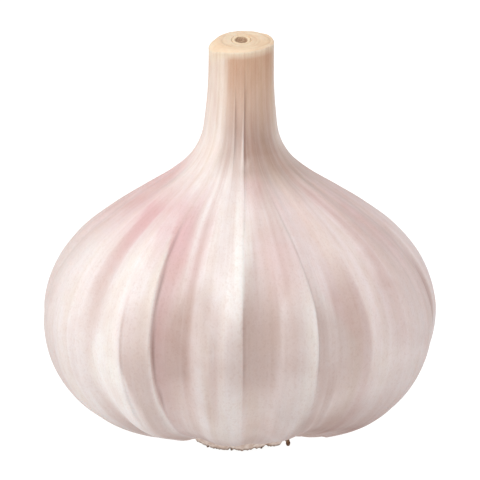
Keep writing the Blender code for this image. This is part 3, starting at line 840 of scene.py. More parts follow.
# Browner inner layers of the neck where the outer one stops, together with painted shade on the
# neck's right side and the neck's painted shadow on the shoulder at its foot.
HUSK_AND_NECK_SHADE_BANDS = (
    (1.0, 50.0, (
        (43.5, 4.4, 62.0, 0.0), (46, 4.8, 62.0, 0.90), (48, 5.4, 62.0, 0.88),
        (52, 6.3, 60.0, 0.62), (56, 6.8, 58.0, 0.28), (60, 7.0, 58.0, 0.06),
        (63, 7.0, 58.0, 0.0),
    )),
    (16.0, 50.0, (
        (39.5, 6.0, 62.0, 0.0), (41, 6.0, 62.0, 0.22), (42.5, 6.0, 62.0, 0.50),
        (44, 3.0, 62.0, 0.76), (46, 9.0, 62.0, 0.86), (49, 9.0, 62.0, 0.0),
    )),
    (14.0, 8.0, (
        (43, -28.0, -4.0, 0.0), (44.5, -28.0, -5.0, 0.26), (46, -28.0, -5.0, 0.48),
        (50, -26.0, -6.0, 0.50),
        (54, -24.0, -7.0, 0.26), (60, -20.0, -8.0, 0.05),
    )),
    (4.0, 3.0, (
        (41.5, -9.0, 1.0, 0.0), (44.5, -9.0, 1.0, 0.30), (47.5, -9.5, 2.0, 0.52),
        (50, -10.5, 3.0, 0.56),
        (54, -11.0, 5.0, 0.32), (60, -11.0, 6.0, 0.10), (63, -11.0, 6.0, 0.0),
    )),
    (3.0, 20.0, (
        (40.5, 112.0, 168.0, 0.0), (44, 112.0, 168.0, 0.70), (48, 112.0, 168.0, 0.85),
        (56, 112.0, 168.0, 0.50), (62, 112.0, 168.0, 0.40),
    )),
    (14.0, 2.0, (
        (40.5, 206.0, 248.0, 0.0), (44, 206.0, 248.0, 0.55), (48, 206.0, 248.0, 0.70),
        (56, 206.0, 248.0, 0.45), (62, 206.0, 248.0, 0.35),
    )),
)
TAN_BANDS = (
    (18.0, 40.0, (
        (48, -26.0, 76.0, 0.0), (53, -26.0, 76.0, 0.46), (58, -26.0, 76.0, 0.80),
        (61, -26.0, 76.0, 0.92), (63, -26.0, 76.0, 0.60),
    )),
    (60.0, 60.0, (
        (50, 70.0, 290.0, 0.0), (55, 70.0, 290.0, 0.25), (63, 70.0, 290.0, 0.50),
    )),
)
# Painted shade on the underside: darker colour low down all round, strongest at the right.
UNDERSIDE_SHADE_BANDS = (
    (24.0, 60.0, (
        (1, 20.0, 110.0, 0.50), (3.5, 20.0, 110.0, 0.62), (5, 20.0, 110.0, 0.74),
        (6.5, 24.0, 110.0, 0.56), (8.5, 28.0, 110.0, 0.39), (10.5, 34.0, 110.0, 0.26),
        (13, 44.0, 110.0, 0.14), (18, 44.0, 110.0, 0.0),
    )),
    (9.0, 10.0, (
        (3, 14.0, 27.0, 0.50), (6.3, 15.0, 27.0, 0.60), (8.5, 17.5, 26.0, 0.52),
        (10.5, 18.5, 25.0, 0.34), (13, 19.0, 25.0, 0.16), (16, 20.0, 25.0, 0.0),
    )),
    (5.0, 3.0, (
        (6, 11.0, 19.0, 0.34), (8, 11.0, 19.0, 0.22), (10.5, 11.0, 19.0, 0.22),
        (13, 11.0, 19.0, 0.10), (16, 11.0, 19.0, 0.0),
    )),
    (10.0, 8.0, (
        (3, -130.0, -68.0, 0.50), (6, -130.0, -70.0, 0.30), (9, -130.0, -70.0, 0.20),
        (12, -130.0, -72.0, 0.10), (15, -130.0, -72.0, 0.0),
    )),
    (0.1, 0.1, (
        (1, -179.9, 179.9, 0.50), (4, -179.9, 179.9, 0.48), (5.2, -179.9, 179.9, 0.34),
        (6.3, -179.9, 179.9, 0.20), (8.5, -179.9, 179.9, 0.05), (11, -179.9, 179.9, 0.0),
    )),
)
# The same tan and painted shade in the gaps that the front doesn't show.
GAP_TAN_AND_SHADE = ((6, 0.05), (13, 0.25), (18, 0.80), (26, 0.95), (31, 0.45), (38, 0.25), (42, 0.0))
GAP_ROSE = ((5, 0.70), (13, 0.60), (18, 0.35), (24, 0.10), (30, 0.0))
FRONT = 84.0


def band(degrees, height, soft_left, soft_right, rows):
    """1 between the band's sides, which are soft, times a strength that follows the height."""
    heights, left, right, strength = np.array(rows, float).T
    tall = height / MM
    left, right, strength = (np.interp(tall, heights, side) for side in (left, right, strength))
    away = wrapped(degrees - (left + right) / 2)
    half = (right - left) / 2
    rise = ramp(away, -half - soft_left / 2, -half + soft_left / 2)
    fall = 1 - ramp(away, half - soft_right / 2, half + soft_right / 2)
    return strength * rise * fall


def gap_bands(table):
    """The same band in every gap between cloves that the front doesn't show, each with its
    own share of the strength."""
    found = []
    for k, (_, left, _, _) in enumerate(CLOVES):
        right = CLOVES[(k + 1) % len(CLOVES)][0] + (360.0 if k == len(CLOVES) - 1 else 0.0)
        if FRONT < right and left < 360.0 - FRONT:
            share = 0.8 + 0.2 * math.sin(2.1 * k)
            found.append((1.4, 3.2, tuple((tall, left, right, share * s) for tall, s in table)))
    return tuple(found)


def keep_attribute(mesh, name, values):
    """Writes one number for each point of the mesh; poles take the last of the values."""
    flat = np.full(len(mesh.vertices), float(values.ravel()[-1]), np.float32)
    flat[: values.size] = values.ravel()
    mesh.attributes.new(name, "FLOAT", "POINT").data.foreach_set("value", flat)


skin_mesh = wrapper_skin.data
for colour_name, bands in (
    ("valley", VALLEY_TAN_AND_SHADE_BANDS + gap_bands(GAP_TAN_AND_SHADE)),
    ("rose", ROSE_BANDS + gap_bands(GAP_ROSE)),
    ("blush", BLUSH_BANDS),
    ("painted_highlight", HIGHLIGHT_BANDS),
    ("husk_and_neck_shade", HUSK_AND_NECK_SHADE_BANDS),
    ("tan", TAN_BANDS),
    ("underside_shade", UNDERSIDE_SHADE_BANDS),
):
    amount = np.zeros_like(degrees_grid)
    for one in bands:
        amount = np.maximum(amount, band(degrees_grid, height_grid, *one))
    keep_attribute(skin_mesh, colour_name, amount * on_skin)
    covered = round(float((amount > 0.3).mean()) * 100)
    print(colour_name, "has", len(bands), "bands and covers", covered, "%")

# %% [markdown]
# More numbers follow the growth: the cream of the neck, the tint of the rim, which has dried
# like the cut that it borders and reaches further down at the back and the left, and the
# brown stain near the roots. The last one marks the dark line of shade and dust that collects
# at the foot of a free edge. It is a fraction of a millimetre wide at any height, so the
# distance from the edge is turned from degrees into millimetres by the radius.

# %% Cream, stain, and lines of shade and dust
SHADE_AND_DUST_LINES = (
    (0, ((8, 0.25), (13, 0.70), (20, 0.90), (29, 0.70), (36, 0.35), (39, 0.0))),
    (1, ((14, 0.0), (20, 0.2), (28, 0.1), (34, 0.0), (43, 0.0), (46, 0.75), (53, 0.8), (57, 0.0))),
    (2, ((15, 0.0), (19, 0.25), (27, 0.40), (35, 0.25), (39, 0.0))),
    (4, ((45, 0.0), (47, 0.45), (52, 0.45), (55, 0.0))),
)  # number of the free edge, and strengths by height in mm
SHADE_AND_DUST_CENTRE = 0.16 * MM
SHADE_AND_DUST_HALF_WIDTH = 0.13 * MM
CREAM_FOOT = (41.0 * MM, 47.0 * MM)
CREAM_NECK = (46.0 * MM, NECK_TOP)
RIM_FACING = 35.0  # degrees from the front, where the rim's tint reaches down least
RIM_LOWEST = 58.8  # mm
RIM_RISE = 2.4  # mm
RIM_END = 62.2 * MM
STAIN_REACH = (8.0 * MM, 17.0 * MM)

cream = 0.3 * ramp(height_grid, *CREAM_FOOT) + 0.7 * ramp(height_grid, *CREAM_NECK)
keep_attribute(skin_mesh, "cream", cream)
to_front_right = 0.5 + 0.5 * np.cos(turn_grid - math.radians(RIM_FACING))
rim_start = (RIM_LOWEST + RIM_RISE * ramp(to_front_right, 0.35, 0.8)) * MM
keep_attribute(skin_mesh, "rim", 0.9 * ramp(height_grid, rim_start, RIM_END))
from_roots = np.hypot(radius_grid, 1.6 * height_grid)
stain = on_skin * (1 - ramp(from_roots, *STAIN_REACH)) * (height_grid < WIDEST_HEIGHT)
keep_attribute(skin_mesh, "stain", np.maximum(stain, 0.5 * bared))
shade_and_dust = np.zeros_like(degrees_grid)
for edge_number, table in SHADE_AND_DUST_LINES:
    path = SHEATH_EDGES[edge_number][2]
    aside = np.radians(wrapped(degrees_grid - edge_angle(path, height_grid))) * radius_grid
    line = np.exp(-(((aside - SHADE_AND_DUST_CENTRE) / SHADE_AND_DUST_HALF_WIDTH) ** 2))
    heights, strengths = np.array(table).T
    shade_and_dust = np.maximum(shade_and_dust, line * np.interp(height_grid / MM, heights, strengths))
keep_attribute(skin_mesh, "shade_and_dust", shade_and_dust * on_skin)
print("dust lines at", len(SHADE_AND_DUST_LINES), "edges")

# %% [markdown]
# The veins run along the leaf, so their pattern needs coordinates that run along it too: two
# that go round the bulb as a circle, so there is no seam, and one that measures the way from
# the rim down the skin. They are in millimetres, as on a circle of the bulb's own size. A
# pattern that is narrow across and long along these coordinates looks like veins, and it
# gathers towards the neck as real veins do.

# %% Coordinates along the veins
row_gaps = np.linalg.norm(np.diff(rows, axis=0), axis=1)
along = np.concatenate([[0.0], np.cumsum(row_gaps)])[:, None] / MM
circle = BULB_WIDTH / 2 / MM
along_grid = np.repeat(along, COLUMNS, axis=1)
on_circle = (circle * np.sin(turn_grid), circle * np.cos(turn_grid))
vein_space = np.stack([*on_circle, along_grid], axis=-1).reshape(-1, 3)
vein_space = np.vstack([vein_space, vein_space[:1], vein_space[-1:]]).astype(np.float32)
skin_mesh.attributes.new("vein_space", "FLOAT_VECTOR", "POINT")
skin_mesh.attributes["vein_space"].data.foreach_set("vector", vein_space.ravel())
print("the skin is", round(float(along[-1, 0]), 1), "mm long from hole to socket")

# %% [markdown]
# ## Materials
#
# A material is a small graph. Colours are written as the hex values that one would pick on a
# screen, and one function turns them into the linear values that the renderer adds up. One
# more function adds a node with its settings and links, and gives back one of its outputs.

# %% Colour and node helpers
def linear(hex_value):
    """An sRGB hex colour as linear red, green and blue, with alpha 1."""
    parts = np.array([int(hex_value[i : i + 2], 16) for i in (0, 2, 4)]) / 255.0
    lit = np.where(parts <= 0.04045, parts / 12.92, ((parts + 0.055) / 1.055) ** 2.4)
    return (*lit.tolist(), 1.0)


def add(tree, kind, inputs=None, give=0, stops=(), **settings):
    """Adds a node and returns its output called give. An input is set to a value, or linked
    where the value is another node's output. Stops are positions and hex colours."""
    made = tree.nodes.new(kind)
    for key, value in settings.items():
        setattr(made, key, value)
    for k, (position, hex_value) in enumerate(stops):
        elements = made.color_ramp.elements
        stop = elements[k] if k < len(elements) else elements.new(position)
        stop.position = position
        stop.color = linear(hex_value)
    for key, value in (inputs or {}).items():
        if isinstance(value, bpy.types.NodeSocket):
            tree.links.new(value, made.inputs[key])
        else:
            made.inputs[key].default_value = value
    return made.outputs[give]


def new_material(name, **constants):
    """A material with its node tree and shader. Constants are the shader's sockets, with
    spaces written as underscores."""
    made = bpy.data.materials.new(name)
    made.use_nodes = True
    shader = made.node_tree.nodes["Principled BSDF"]
    for key, value in constants.items():
        shader.inputs[key.replace("_", " ")].default_value = value
    return made, made.node_tree, shader


# %% [markdown]
# ## The dry skin
#
# The skin is a dead leaf base, a few hundredths of a millimetre thick, dried by curing over
# moist white cloves. It is matt with a faint silky sheen along the veins, and a little light
# goes into it, so it has some subsurface scattering with a reach of about a millimetre. The
# veins are 0.5 to 1 mm apart on the real thing: they show as slight changes of tone and as
# fine ridges. Fibres between them are too fine for the picture and are drawn 0.3 mm wide. The
# grain is the leaf's cells, which can't be seen one by one either, so it is drawn 0.4 mm wide.

# %% Material of the skin
SKIN_WHITE = "EEE5E3"
LAYERS = (
    ("cream", "E9D9CB"),
    # painted highlight on crests and lips
    ("painted_highlight", "FCF8F5"),
    ("rose", "DDC3BC"),
    # tan and painted shade of the gaps
    ("valley", "C0A9A2"),
    # browner layers with painted shade and shadow of the neck
    ("husk_and_neck_shade", "AD8F82"),
    ("tan", "CFA98E"),
    ("blush", "DDB0B3"),
    # painted shade of the underside
    ("underside_shade", "8A5F51"),
    ("rim", "EADAC4"),
)
STAIN_BROWN = "A98A72"
# Painted shade, with dust, along the foot of the free edges.
SHADE_AND_DUST_ROSE = "8F6A62"
SCATTER_REACH = 1.1 * MM
VEINS = (0.9, 30.0, 2.5)
STREAKS = (3.4, 60.0, 2.0)
FIBRES = (0.3, 9.0, 2.0)
BLOTCHES = (6.0, 6.0, 3.0)
GRAIN = (0.4, 0.5, 1.0)
PATTERNS = {
    "veins": VEINS,
    "streaks": STREAKS,
    "fibres": FIBRES,
    "blotches": BLOTCHES,
    "grain": GRAIN,
}  # width and length in mm, and how much finer detail is added

cured_leaf_skin, tree, shader = new_material(
    "cured_leaf_skin",
    Specular_IOR_Level=0.20,
    Subsurface_Weight=0.15,
    Subsurface_Radius=(1.0, 0.6, 0.45),
    Subsurface_Scale=SCATTER_REACH,
)
space = add(tree, "ShaderNodeAttribute", give="Vector", attribute_name="vein_space")
noises = {}
for pattern, (width, length, detail) in PATTERNS.items():
    scale = (1 / width, 1 / width, 1 / length)
    placed = add(tree, "ShaderNodeMapping", {"Vector": space, "Scale": scale})
    inputs = {"Vector": placed, "Scale": 1.0, "Detail": detail}
    noises[pattern] = add(tree, "ShaderNodeTexNoise", inputs)
uneven = add(
    tree,
    "ShaderNodeMapRange",
    {"Value": noises["veins"], "From Min": 0.34, "From Max": 0.66, "To Min": 0.92, "To Max": 1.05},
)
patchy = add(
    tree,
    "ShaderNodeMapRange",
    {
        "Value": noises["blotches"],
        "From Min": 0.40,
        "From Max": 0.62,
        "To Min": 0.25,
        "To Max": 0.9,
    },
)
colour = linear(SKIN_WHITE)
for layer, hex_value, share in (
    *((layer, hex_value, uneven) for layer, hex_value in LAYERS),
    ("stain", STAIN_BROWN, patchy),
    ("shade_and_dust", SHADE_AND_DUST_ROSE, 0.6),
):
    kept = add(tree, "ShaderNodeAttribute", give="Fac", attribute_name=layer)
    amount = add(tree, "ShaderNodeMath", {0: kept, 1: share}, operation="MULTIPLY")
    inputs = {0: amount, 6: colour, 7: linear(hex_value)}
    colour = add(tree, "ShaderNodeMix", inputs, give=2, data_type="RGBA")
for pattern, share, stops in (
    ("streaks", 0.7, ((0.32, "F3EAE6"), (0.50, "FFFFFF"), (0.68, "F7F3EC"))),
    ("veins", 0.22, ((0.34, "EFE6E2"), (0.50, "FFFFFF"), (0.66, "F8F4F1"))),
    ("blotches", 0.6, ((0.34, "F6EFEC"), (0.52, "FFFFFF"), (0.70, "F9F5F0"))),
    ("grain", 0.4, ((0.30, "EFE6E2"), (0.50, "FFFFFF"), (0.70, "F6F2EF"))),
):
    tone = add(tree, "ShaderNodeValToRGB", {"Fac": noises[pattern]}, stops=stops)
    inputs = {0: share, 6: colour, 7: tone}
    colour = add(tree, "ShaderNodeMix", inputs, 2, data_type="RGBA", blend_type="MULTIPLY")
tree.links.new(colour, shader.inputs["Base Color"])
ridges = add(tree, "ShaderNodeMath", {0: noises["veins"], 1: noises["fibres"]}, operation="ADD")
bump = add(tree, "ShaderNodeBump", {"Height": ridges, "Strength": 0.18, "Distance": 0.05 * MM})
tree.links.new(bump, shader.inputs["Normal"])
silky = add(
    tree,
    "ShaderNodeMapRange",
    {"Value": noises["fibres"], "From Min": 0.3, "From Max": 0.7, "To Min": 0.48, "To Max": 0.62},
)
tree.links.new(silky, shader.inputs["Roughness"])
skin_mesh.materials.append(cured_leaf_skin)
print("cured_leaf_skin has", len(tree.nodes), "nodes")

# %% [markdown]
# ## The cut
#
# The cut face shows the sheaths end on. Fresh from the knife it was moist and white, and it
# has since dried to a pale yellow cream, a little browner in the grooves between the layers.
# The grooves' depth is kept on the mesh, so the colour lies exactly where the relief is. The
# grain is the leaf's cells, far too small to see, so it is drawn 0.4 mm wide.

# %% Material of the cut face
CELL_SIZE = 0.4 * MM
PATCH_SIZE = 2.0 * MM

cut_leaf_bases, tree, shader = new_material(
    "cut_leaf_bases",
    Roughness=0.62,
    Specular_IOR_Level=0.30,
    Subsurface_Weight=0.15,
    Subsurface_Radius=(1.0, 0.6, 0.4),
    Subsurface_Scale=SCATTER_REACH,
)
keep_attribute(skin_mesh, "groove", layer_grooves(degrees_grid, radius_grid) / (0.10 * MM))
position = add(tree, "ShaderNodeTexCoord", give="Object")
inputs = {"Vector": position, "Scale": 1 / CELL_SIZE, "Detail": 3.0}
cells = add(tree, "ShaderNodeTexNoise", inputs)
inputs = {"Vector": position, "Scale": 1 / PATCH_SIZE, "Detail": 2.0}
patches = add(tree, "ShaderNodeTexNoise", inputs)
stops = ((0.35, "E3C5A6"), (0.65, "EAD4B9"))
face_tone = add(tree, "ShaderNodeValToRGB", {"Fac": patches}, stops=stops)
kept = add(tree, "ShaderNodeAttribute", give="Fac", attribute_name="groove")
amount = add(tree, "ShaderNodeMath", {0: kept, 1: 0.35}, operation="MULTIPLY")
inputs = {0: amount, 6: face_tone, 7: linear("C3A27E")}
colour = add(tree, "ShaderNodeMix", inputs, give=2, data_type="RGBA")
tree.links.new(colour, shader.inputs["Base Color"])
bump = add(tree, "ShaderNodeBump", {"Height": cells, "Strength": 0.4, "Distance": 0.05 * MM})
tree.links.new(bump, shader.inputs["Normal"])
skin_mesh.materials.append(cut_leaf_bases)

quad_count = (len(rows) - 1) * COLUMNS
slot_of_face = np.zeros(len(skin_mesh.polygons), np.int32)
slot_of_face[:quad_count] = np.arange(quad_count) // COLUMNS < first_skin - 2
slot_of_face[quad_count : quad_count + COLUMNS] = 1
skin_mesh.polygons.foreach_set("material_index", slot_of_face)
print(int(slot_of_face.sum()), "faces are cut leaf")

# %% [markdown]
# ## The dried flower stalk
#
# In the middle of the neck stands the stalk that would have carried the flower. Its wall is
# firm and pale, and its pith has shrunk to a brown, spongy plug a little below the cut. It is
# a closed grid again: from the plug's middle up the bore, over the wall's cut end, and down
# the outside.

# %% Stalk
BORE_RADIUS = 0.95 * MM
PLUG_DEPTH = 0.28 * MM
PLUG_ROWS = 9
OUTSIDE_ROWS = 24
STALK_COLUMNS = 96
STALK_SEED = 21


def round_grid(profile, columns):
    """The columns' angles in radians, and each profile point's radius and height for all of
    them."""
    turn = np.linspace(-math.pi, math.pi, columns, endpoint=False)[None, :]
    radius, height = (np.repeat(profile[:, i, None], columns, axis=1) for i in (0, 1))
    return turn, radius, height


plug_radius = np.linspace(0.06, 1.0, PLUG_ROWS) * BORE_RADIUS * 0.97
plug_rows = np.stack([plug_radius, np.full(PLUG_ROWS, BULB_HEIGHT - PLUG_DEPTH)], axis=1)
wall_rows = np.array(
    [
        (BORE_RADIUS * 0.99, BULB_HEIGHT - 0.5 * PLUG_DEPTH),
        (BORE_RADIUS, BULB_HEIGHT - 0.08 * MM),
        (BORE_RADIUS + 0.06 * MM, BULB_HEIGHT - 0.01 * MM),
        (BORE_RADIUS + 0.20 * MM, BULB_HEIGHT),
        (STALK_RADIUS - 0.14 * MM, BULB_HEIGHT),
        (STALK_RADIUS - 0.04 * MM, BULB_HEIGHT - 0.02 * MM),
        (STALK_RADIUS, BULB_HEIGHT - 0.10 * MM),
    ]
)
outside = np.linspace(BULB_HEIGHT - 0.6 * MM, hole_floor + GAP, OUTSIDE_ROWS)
outside_rows = np.stack([np.full(OUTSIDE_ROWS, STALK_RADIUS), outside], axis=1)
stalk_rows = np.vstack([plug_rows, wall_rows, outside_rows])
stalk_turn, stalk_r, stalk_z = round_grid(stalk_rows, STALK_COLUMNS)
on_plug = (np.arange(len(stalk_rows)) < PLUG_ROWS)[:, None]
chance = np.random.default_rng(STALK_SEED)
bore_wobble = 0.0
for wave in range(2, 9):
    phase = chance.uniform(0, 2 * math.pi)
    lumps = np.cos(wave * stalk_turn + phase + stalk_r / MM * 3.0)
    stalk_z = stalk_z + on_plug * lumps * 0.04 * MM * stalk_r / BORE_RADIUS
    bore_wobble = bore_wobble + 0.035 * MM * np.cos(wave * stalk_turn + phase) / math.sqrt(wave)
from_middle = stalk_r / MM
near_bore = 1 - ramp(np.abs(stalk_r - BORE_RADIUS), 0.0, 0.3 * MM)
ribs = 0.03 * MM * (np.cos(13 * stalk_turn) - 1.0)
stalk_r = stalk_r + near_bore * bore_wobble + np.where(stalk_r > 1.3 * MM, ribs, 0.0)
stalk_x = stalk_r * np.sin(stalk_turn)
stalk_y = -stalk_r * np.cos(stalk_turn) * STALK_OVAL
stalk_surface = closed_surface(
    leaned(np.stack([stalk_x, stalk_y, stalk_z], axis=-1)),
    leaned(np.array([[0.0, 0.0, BULB_HEIGHT - PLUG_DEPTH]])),
    leaned(np.array([[0.0, 0.0, hole_floor + GAP]])),
)
dried_stalk = new_piece("dried_stalk", [stalk_surface])
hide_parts("flower_stalk")

# %% [markdown]
# The wall is straw-coloured and matt; the pith is brown foam with pores of about a third of
# a millimetre. How far a point lies from the stalk's middle tells them apart, so that
# distance is kept on the mesh.

# %% Material of the stalk
PITH_PORE = 0.32 * MM

dry_stalk_fibre, tree, shader = new_material(
    "dry_stalk_fibre", Roughness=0.8, Specular_IOR_Level=0.2
)
keep_attribute(dried_stalk.data, "from_middle", from_middle)
position = add(tree, "ShaderNodeTexCoord", give="Object")
inputs = {"Vector": position, "Scale": 1 / PITH_PORE, "Detail": 4.0}
sponge = add(tree, "ShaderNodeTexNoise", inputs)
pith = add(
    tree,
    "ShaderNodeValToRGB",
    {"Fac": sponge},
    stops=((0.36, "8D6A50"), (0.50, "AC8D73"), (0.66, "C0A288")),
)
kept = add(tree, "ShaderNodeAttribute", give="Fac", attribute_name="from_middle")
amount = add(tree, "ShaderNodeMapRange", {"Value": kept, "From Min": 0.90, "From Max": 1.02})
inputs = {0: amount, 6: pith, 7: linear("EBD3B4")}
colour = add(tree, "ShaderNodeMix", inputs, give=2, data_type="RGBA")
tree.links.new(colour, shader.inputs["Base Color"])
bump = add(tree, "ShaderNodeBump", {"Height": sponge, "Strength": 0.5, "Distance": 0.10 * MM})
tree.links.new(bump, shader.inputs["Normal"])
dried_stalk.data.materials.append(dry_stalk_fibre)
print("dry_stalk_fibre has", len(tree.nodes), "nodes")

# %% [markdown]
# ## The root plate
#
# The plate is the bulb's real stem, squashed flat: a corky disc from which the leaves grew
# upwards and the roots downwards. It keeps the solid's profile, with a bare button in the
# middle, and waves that run across it at many angles make its surface lumpy.

# %% Plate
PLATE_RADIUS = 5.7 * MM
PLATE_FACE = 1.1 * MM
BUTTON_RADIUS = 2.7 * MM
PLATE_ROWS = 56
PLATE_COLUMNS = 128
PLATE_SEED = 31
LUMP = 0.04 * MM
CLEAR = 0.02 * MM

plate_outline = np.array(
    [
        (PLATE_COLLAR_RADIUS - GAP, PLATE_TOP),
        (PLATE_COLLAR_RADIUS, PLATE_TOP - GAP),
        (PLATE_COLLAR_RADIUS, PLATE_FACE + 1.3 * MM),
        (PLATE_RADIUS, PLATE_FACE + 1.0 * MM),
        (PLATE_RADIUS, PLATE_FACE + 0.4 * MM),
        (PLATE_RADIUS - 0.5 * MM, PLATE_FACE),
        (BUTTON_RADIUS + 0.6 * MM, PLATE_FACE - 0.1 * MM),
        (BUTTON_RADIUS, PLATE_FACE - 0.6 * MM),
        (BUTTON_RADIUS - 0.1 * MM, 0.12 * MM),
        (BUTTON_RADIUS - 0.3 * MM, CLEAR),
        (0.5 * BUTTON_RADIUS, CLEAR),
    ]
)
plate_rows = smooth_line(plate_outline, PLATE_ROWS)
plate_turn, plate_r, plate_z = round_grid(plate_rows, PLATE_COLUMNS)
chance = np.random.default_rng(PLATE_SEED)
lumps = 0.0
for wave in range(3, 26, 2):
    phase, pace = chance.uniform((0, 1000), (2 * math.pi, 4000))
    lumps = lumps + np.cos(wave * plate_turn + phase + pace * plate_z) * chance.uniform(0.4, 1.0)
lower_half = 1 - ramp(plate_z, PLATE_FACE + 0.8 * MM, PLATE_FACE + 1.2 * MM)
above_floor = ramp(plate_z, 0.1 * MM, 0.5 * MM)
plate_r = plate_r - LUMP * (lumps + 4.0) * lower_half * above_floor
plate_z = np.maximum(plate_z, CLEAR)
plate_x = plate_r * np.sin(plate_turn)
plate_y = -plate_r * np.cos(plate_turn)
plate_grid = np.stack([plate_x, plate_y, plate_z], axis=-1)
plate_surface = closed_surface(
    plate_grid, np.array([[0.0, 0.0, PLATE_TOP]]), np.array([[0.0, 0.0, CLEAR]])
)
cork_plate = new_piece("cork_plate", [plate_surface])
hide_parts("root_plate")

# %% [markdown]
# ## The roots
#
# The roots were trimmed when the bulb was cleaned, and what is left has dried to stiff,
# shrivelled stubs. Each is a tube: a circle carried along a path that bends outwards, with a
# radius that shrinks and wobbles towards the tip. They are placed in rings, as in the solid,
# but they are thinner than the solid's and there are twice as many.

# %% Tubes and trimmed roots
ROOT_RINGS = ((3.75 * MM, 16), (4.45 * MM, 20), (5.05 * MM, 24), (5.60 * MM, 30))
ROOT_SIDES = 8
ROOT_STEPS = 9
ROOT_SEED = 11


def polar(degrees, radius, height):
    """Points at these angles from the front, radii and heights."""
    turn = np.radians(degrees)
    return np.stack([radius * np.sin(turn), -radius * np.cos(turn), height], axis=-1)


def tube(path, radii):
    """A closed tube. Its rings lie across the path: their two directions are the cross
    product of a fixed direction with the path's, and the cross product of those two."""
    ahead = np.gradient(path, axis=0)
    ahead /= np.linalg.norm(ahead, axis=1, keepdims=True)
    side = np.cross(np.array([0.37, 0.91, 0.18]), ahead)
    side /= np.linalg.norm(side, axis=1, keepdims=True)
    other = np.cross(ahead, side)
    turn = np.linspace(0, 2 * math.pi, ROOT_SIDES, endpoint=False)[None, ::-1, None]
    ring = side[:, None, :] * np.cos(turn) + other[:, None, :] * np.sin(turn)
    grid = path[:, None, :] + ring * radii[:, None, None]
    grid[..., 2] = np.maximum(grid[..., 2], CLEAR)
    return closed_surface(grid, grid[:1].mean(1), grid[-1:].mean(1))


def trimmed_root(chance, degrees, start, reach, tip, thickness):
    """The radius follows a quarter sine from start to reach, the height falls in a straight
    line from inside the plate to the tip, and both wander a little."""
    t = np.linspace(0.0, 1.0, ROOT_STEPS)
    bend, drift = chance.normal(0, 1, 2)
    angle = degrees + 2.0 * bend * np.sin(math.pi * t) + 1.5 * drift * t
    radius = start + (reach - start) * np.sin(t * math.pi / 2)
    height = PLATE_FACE + 0.5 * MM + (tip - PLATE_FACE - 0.5 * MM) * t
    wobble = 1 + 0.10 * np.sin(t * chance.uniform(9, 16) + chance.uniform(0, 6))
    radii = thickness * (1 - 0.35 * t) * wobble
    radii[-1] *= 0.7
    return tube(polar(angle, radius, height), radii)


chance = np.random.default_rng(ROOT_SEED)
roots = []
for ring_number, (ring_radius, count) in enumerate(ROOT_RINGS):
    for k in range(count):
        degrees = 360.0 * (k + chance.uniform(-0.35, 0.35)) / count + 13.0 * ring_number
        start = ring_radius + chance.uniform(-0.12, 0.12) * MM
        reach = start + chance.uniform(0.05, 0.6) * MM
        tip = CLEAR if chance.uniform() < 0.5 else chance.uniform(0.05, 0.7) * MM
        thickness = chance.uniform(0.20, 0.38) * MM
        roots.append(trimmed_root(chance, degrees, start, reach, tip, thickness))
print(len(roots), "trimmed roots")

# %% [markdown]
# A few roots escaped the knife. They curl out from under the cloves and bend down to the
# table. One of them is seen from the front, at the right.

# %% Stray roots
STRAY_ROOTS = (
    (66.0, 7.95 * MM, 0.40 * MM),
    (168.0, 7.9 * MM, 0.26 * MM),
    (-128.0, 7.2 * MM, 0.28 * MM),
)  # degrees, reach, thickness
STRAY_TURN = (0.0, 0.0, 1.0, 2.0, 2.0)  # degrees that each corner is turned
STRAY_HEIGHTS = (1.40, 1.62, 1.35, 0.70, 0.06)  # of the corners, in mm
STRAY_STEPS = 22


def stray_root(chance, degrees, reach, thickness):
    """Straight spans between five corners, out under the plate's edge, over a bend and down,
    smoothed by averaging each point with its neighbours."""
    start = 0.83 * PLATE_RADIUS
    on_the_way = 0.65 * PLATE_RADIUS + 0.35 * reach
    corners = polar(
        degrees + np.array(STRAY_TURN),
        np.array([start, on_the_way, 0.97 * reach, reach, reach]),
        np.array(STRAY_HEIGHTS) * MM,
    )
    steps = np.linspace(0, len(corners) - 1, STRAY_STEPS)
    path = np.stack([np.interp(steps, np.arange(len(corners)), one) for one in corners.T], axis=1)
    path[1:-1] = (path[:-2] + 2 * path[1:-1] + path[2:]) / 4
    wobble = 1 + 0.12 * np.sin(np.arange(STRAY_STEPS) * 1.3 + chance.uniform(0, 6))
    radii = thickness * np.linspace(1.0, 0.8, STRAY_STEPS) * wobble
    radii[-1] *= 0.6
    return tube(path, radii)


roots += [stray_root(chance, *one) for one in STRAY_ROOTS]
dry_roots = new_piece("dry_roots", roots)

# %% [markdown]
# Cork and root are one dead tissue: matt, brown, darker where soil still sits in the pores,
# and weathered to straw where it was rubbed. The grain is set from the size of the lumps,
# about a millimetre, and the pores are a quarter of that.

# %% Material of the plate and roots
CORK_LUMP = 1.1 * MM
CORK_PORE = 0.25 * MM

cork_and_root, tree, shader = new_material("cork_and_root", Roughness=0.88, Specular_IOR_Level=0.2)
position = add(tree, "ShaderNodeTexCoord", give="Object")
inputs = {"Vector": position, "Scale": 1 / CORK_LUMP, "Detail": 4.0}
coarse = add(tree, "ShaderNodeTexNoise", inputs)
inputs = {"Vector": position, "Scale": 1 / CORK_PORE, "Detail": 3.0}
pores = add(tree, "ShaderNodeTexNoise", inputs)
bark = add(
    tree,
    "ShaderNodeValToRGB",
    {"Fac": coarse},
    stops=((0.34, "513628"), (0.48, "70503C"), (0.64, "9C7C60")),
)
amount = add(
    tree,
    "ShaderNodeMapRange",
    {"Value": pores, "From Min": 0.52, "From Max": 0.68, "To Min": 0.0, "To Max": 0.6},
)
inputs = {0: amount, 6: bark, 7: linear("4E3425")}
colour = add(tree, "ShaderNodeMix", inputs, give=2, data_type="RGBA")
tree.links.new(colour, shader.inputs["Base Color"])
bump = add(tree, "ShaderNodeBump", {"Height": pores, "Strength": 0.6, "Distance": 0.10 * MM})
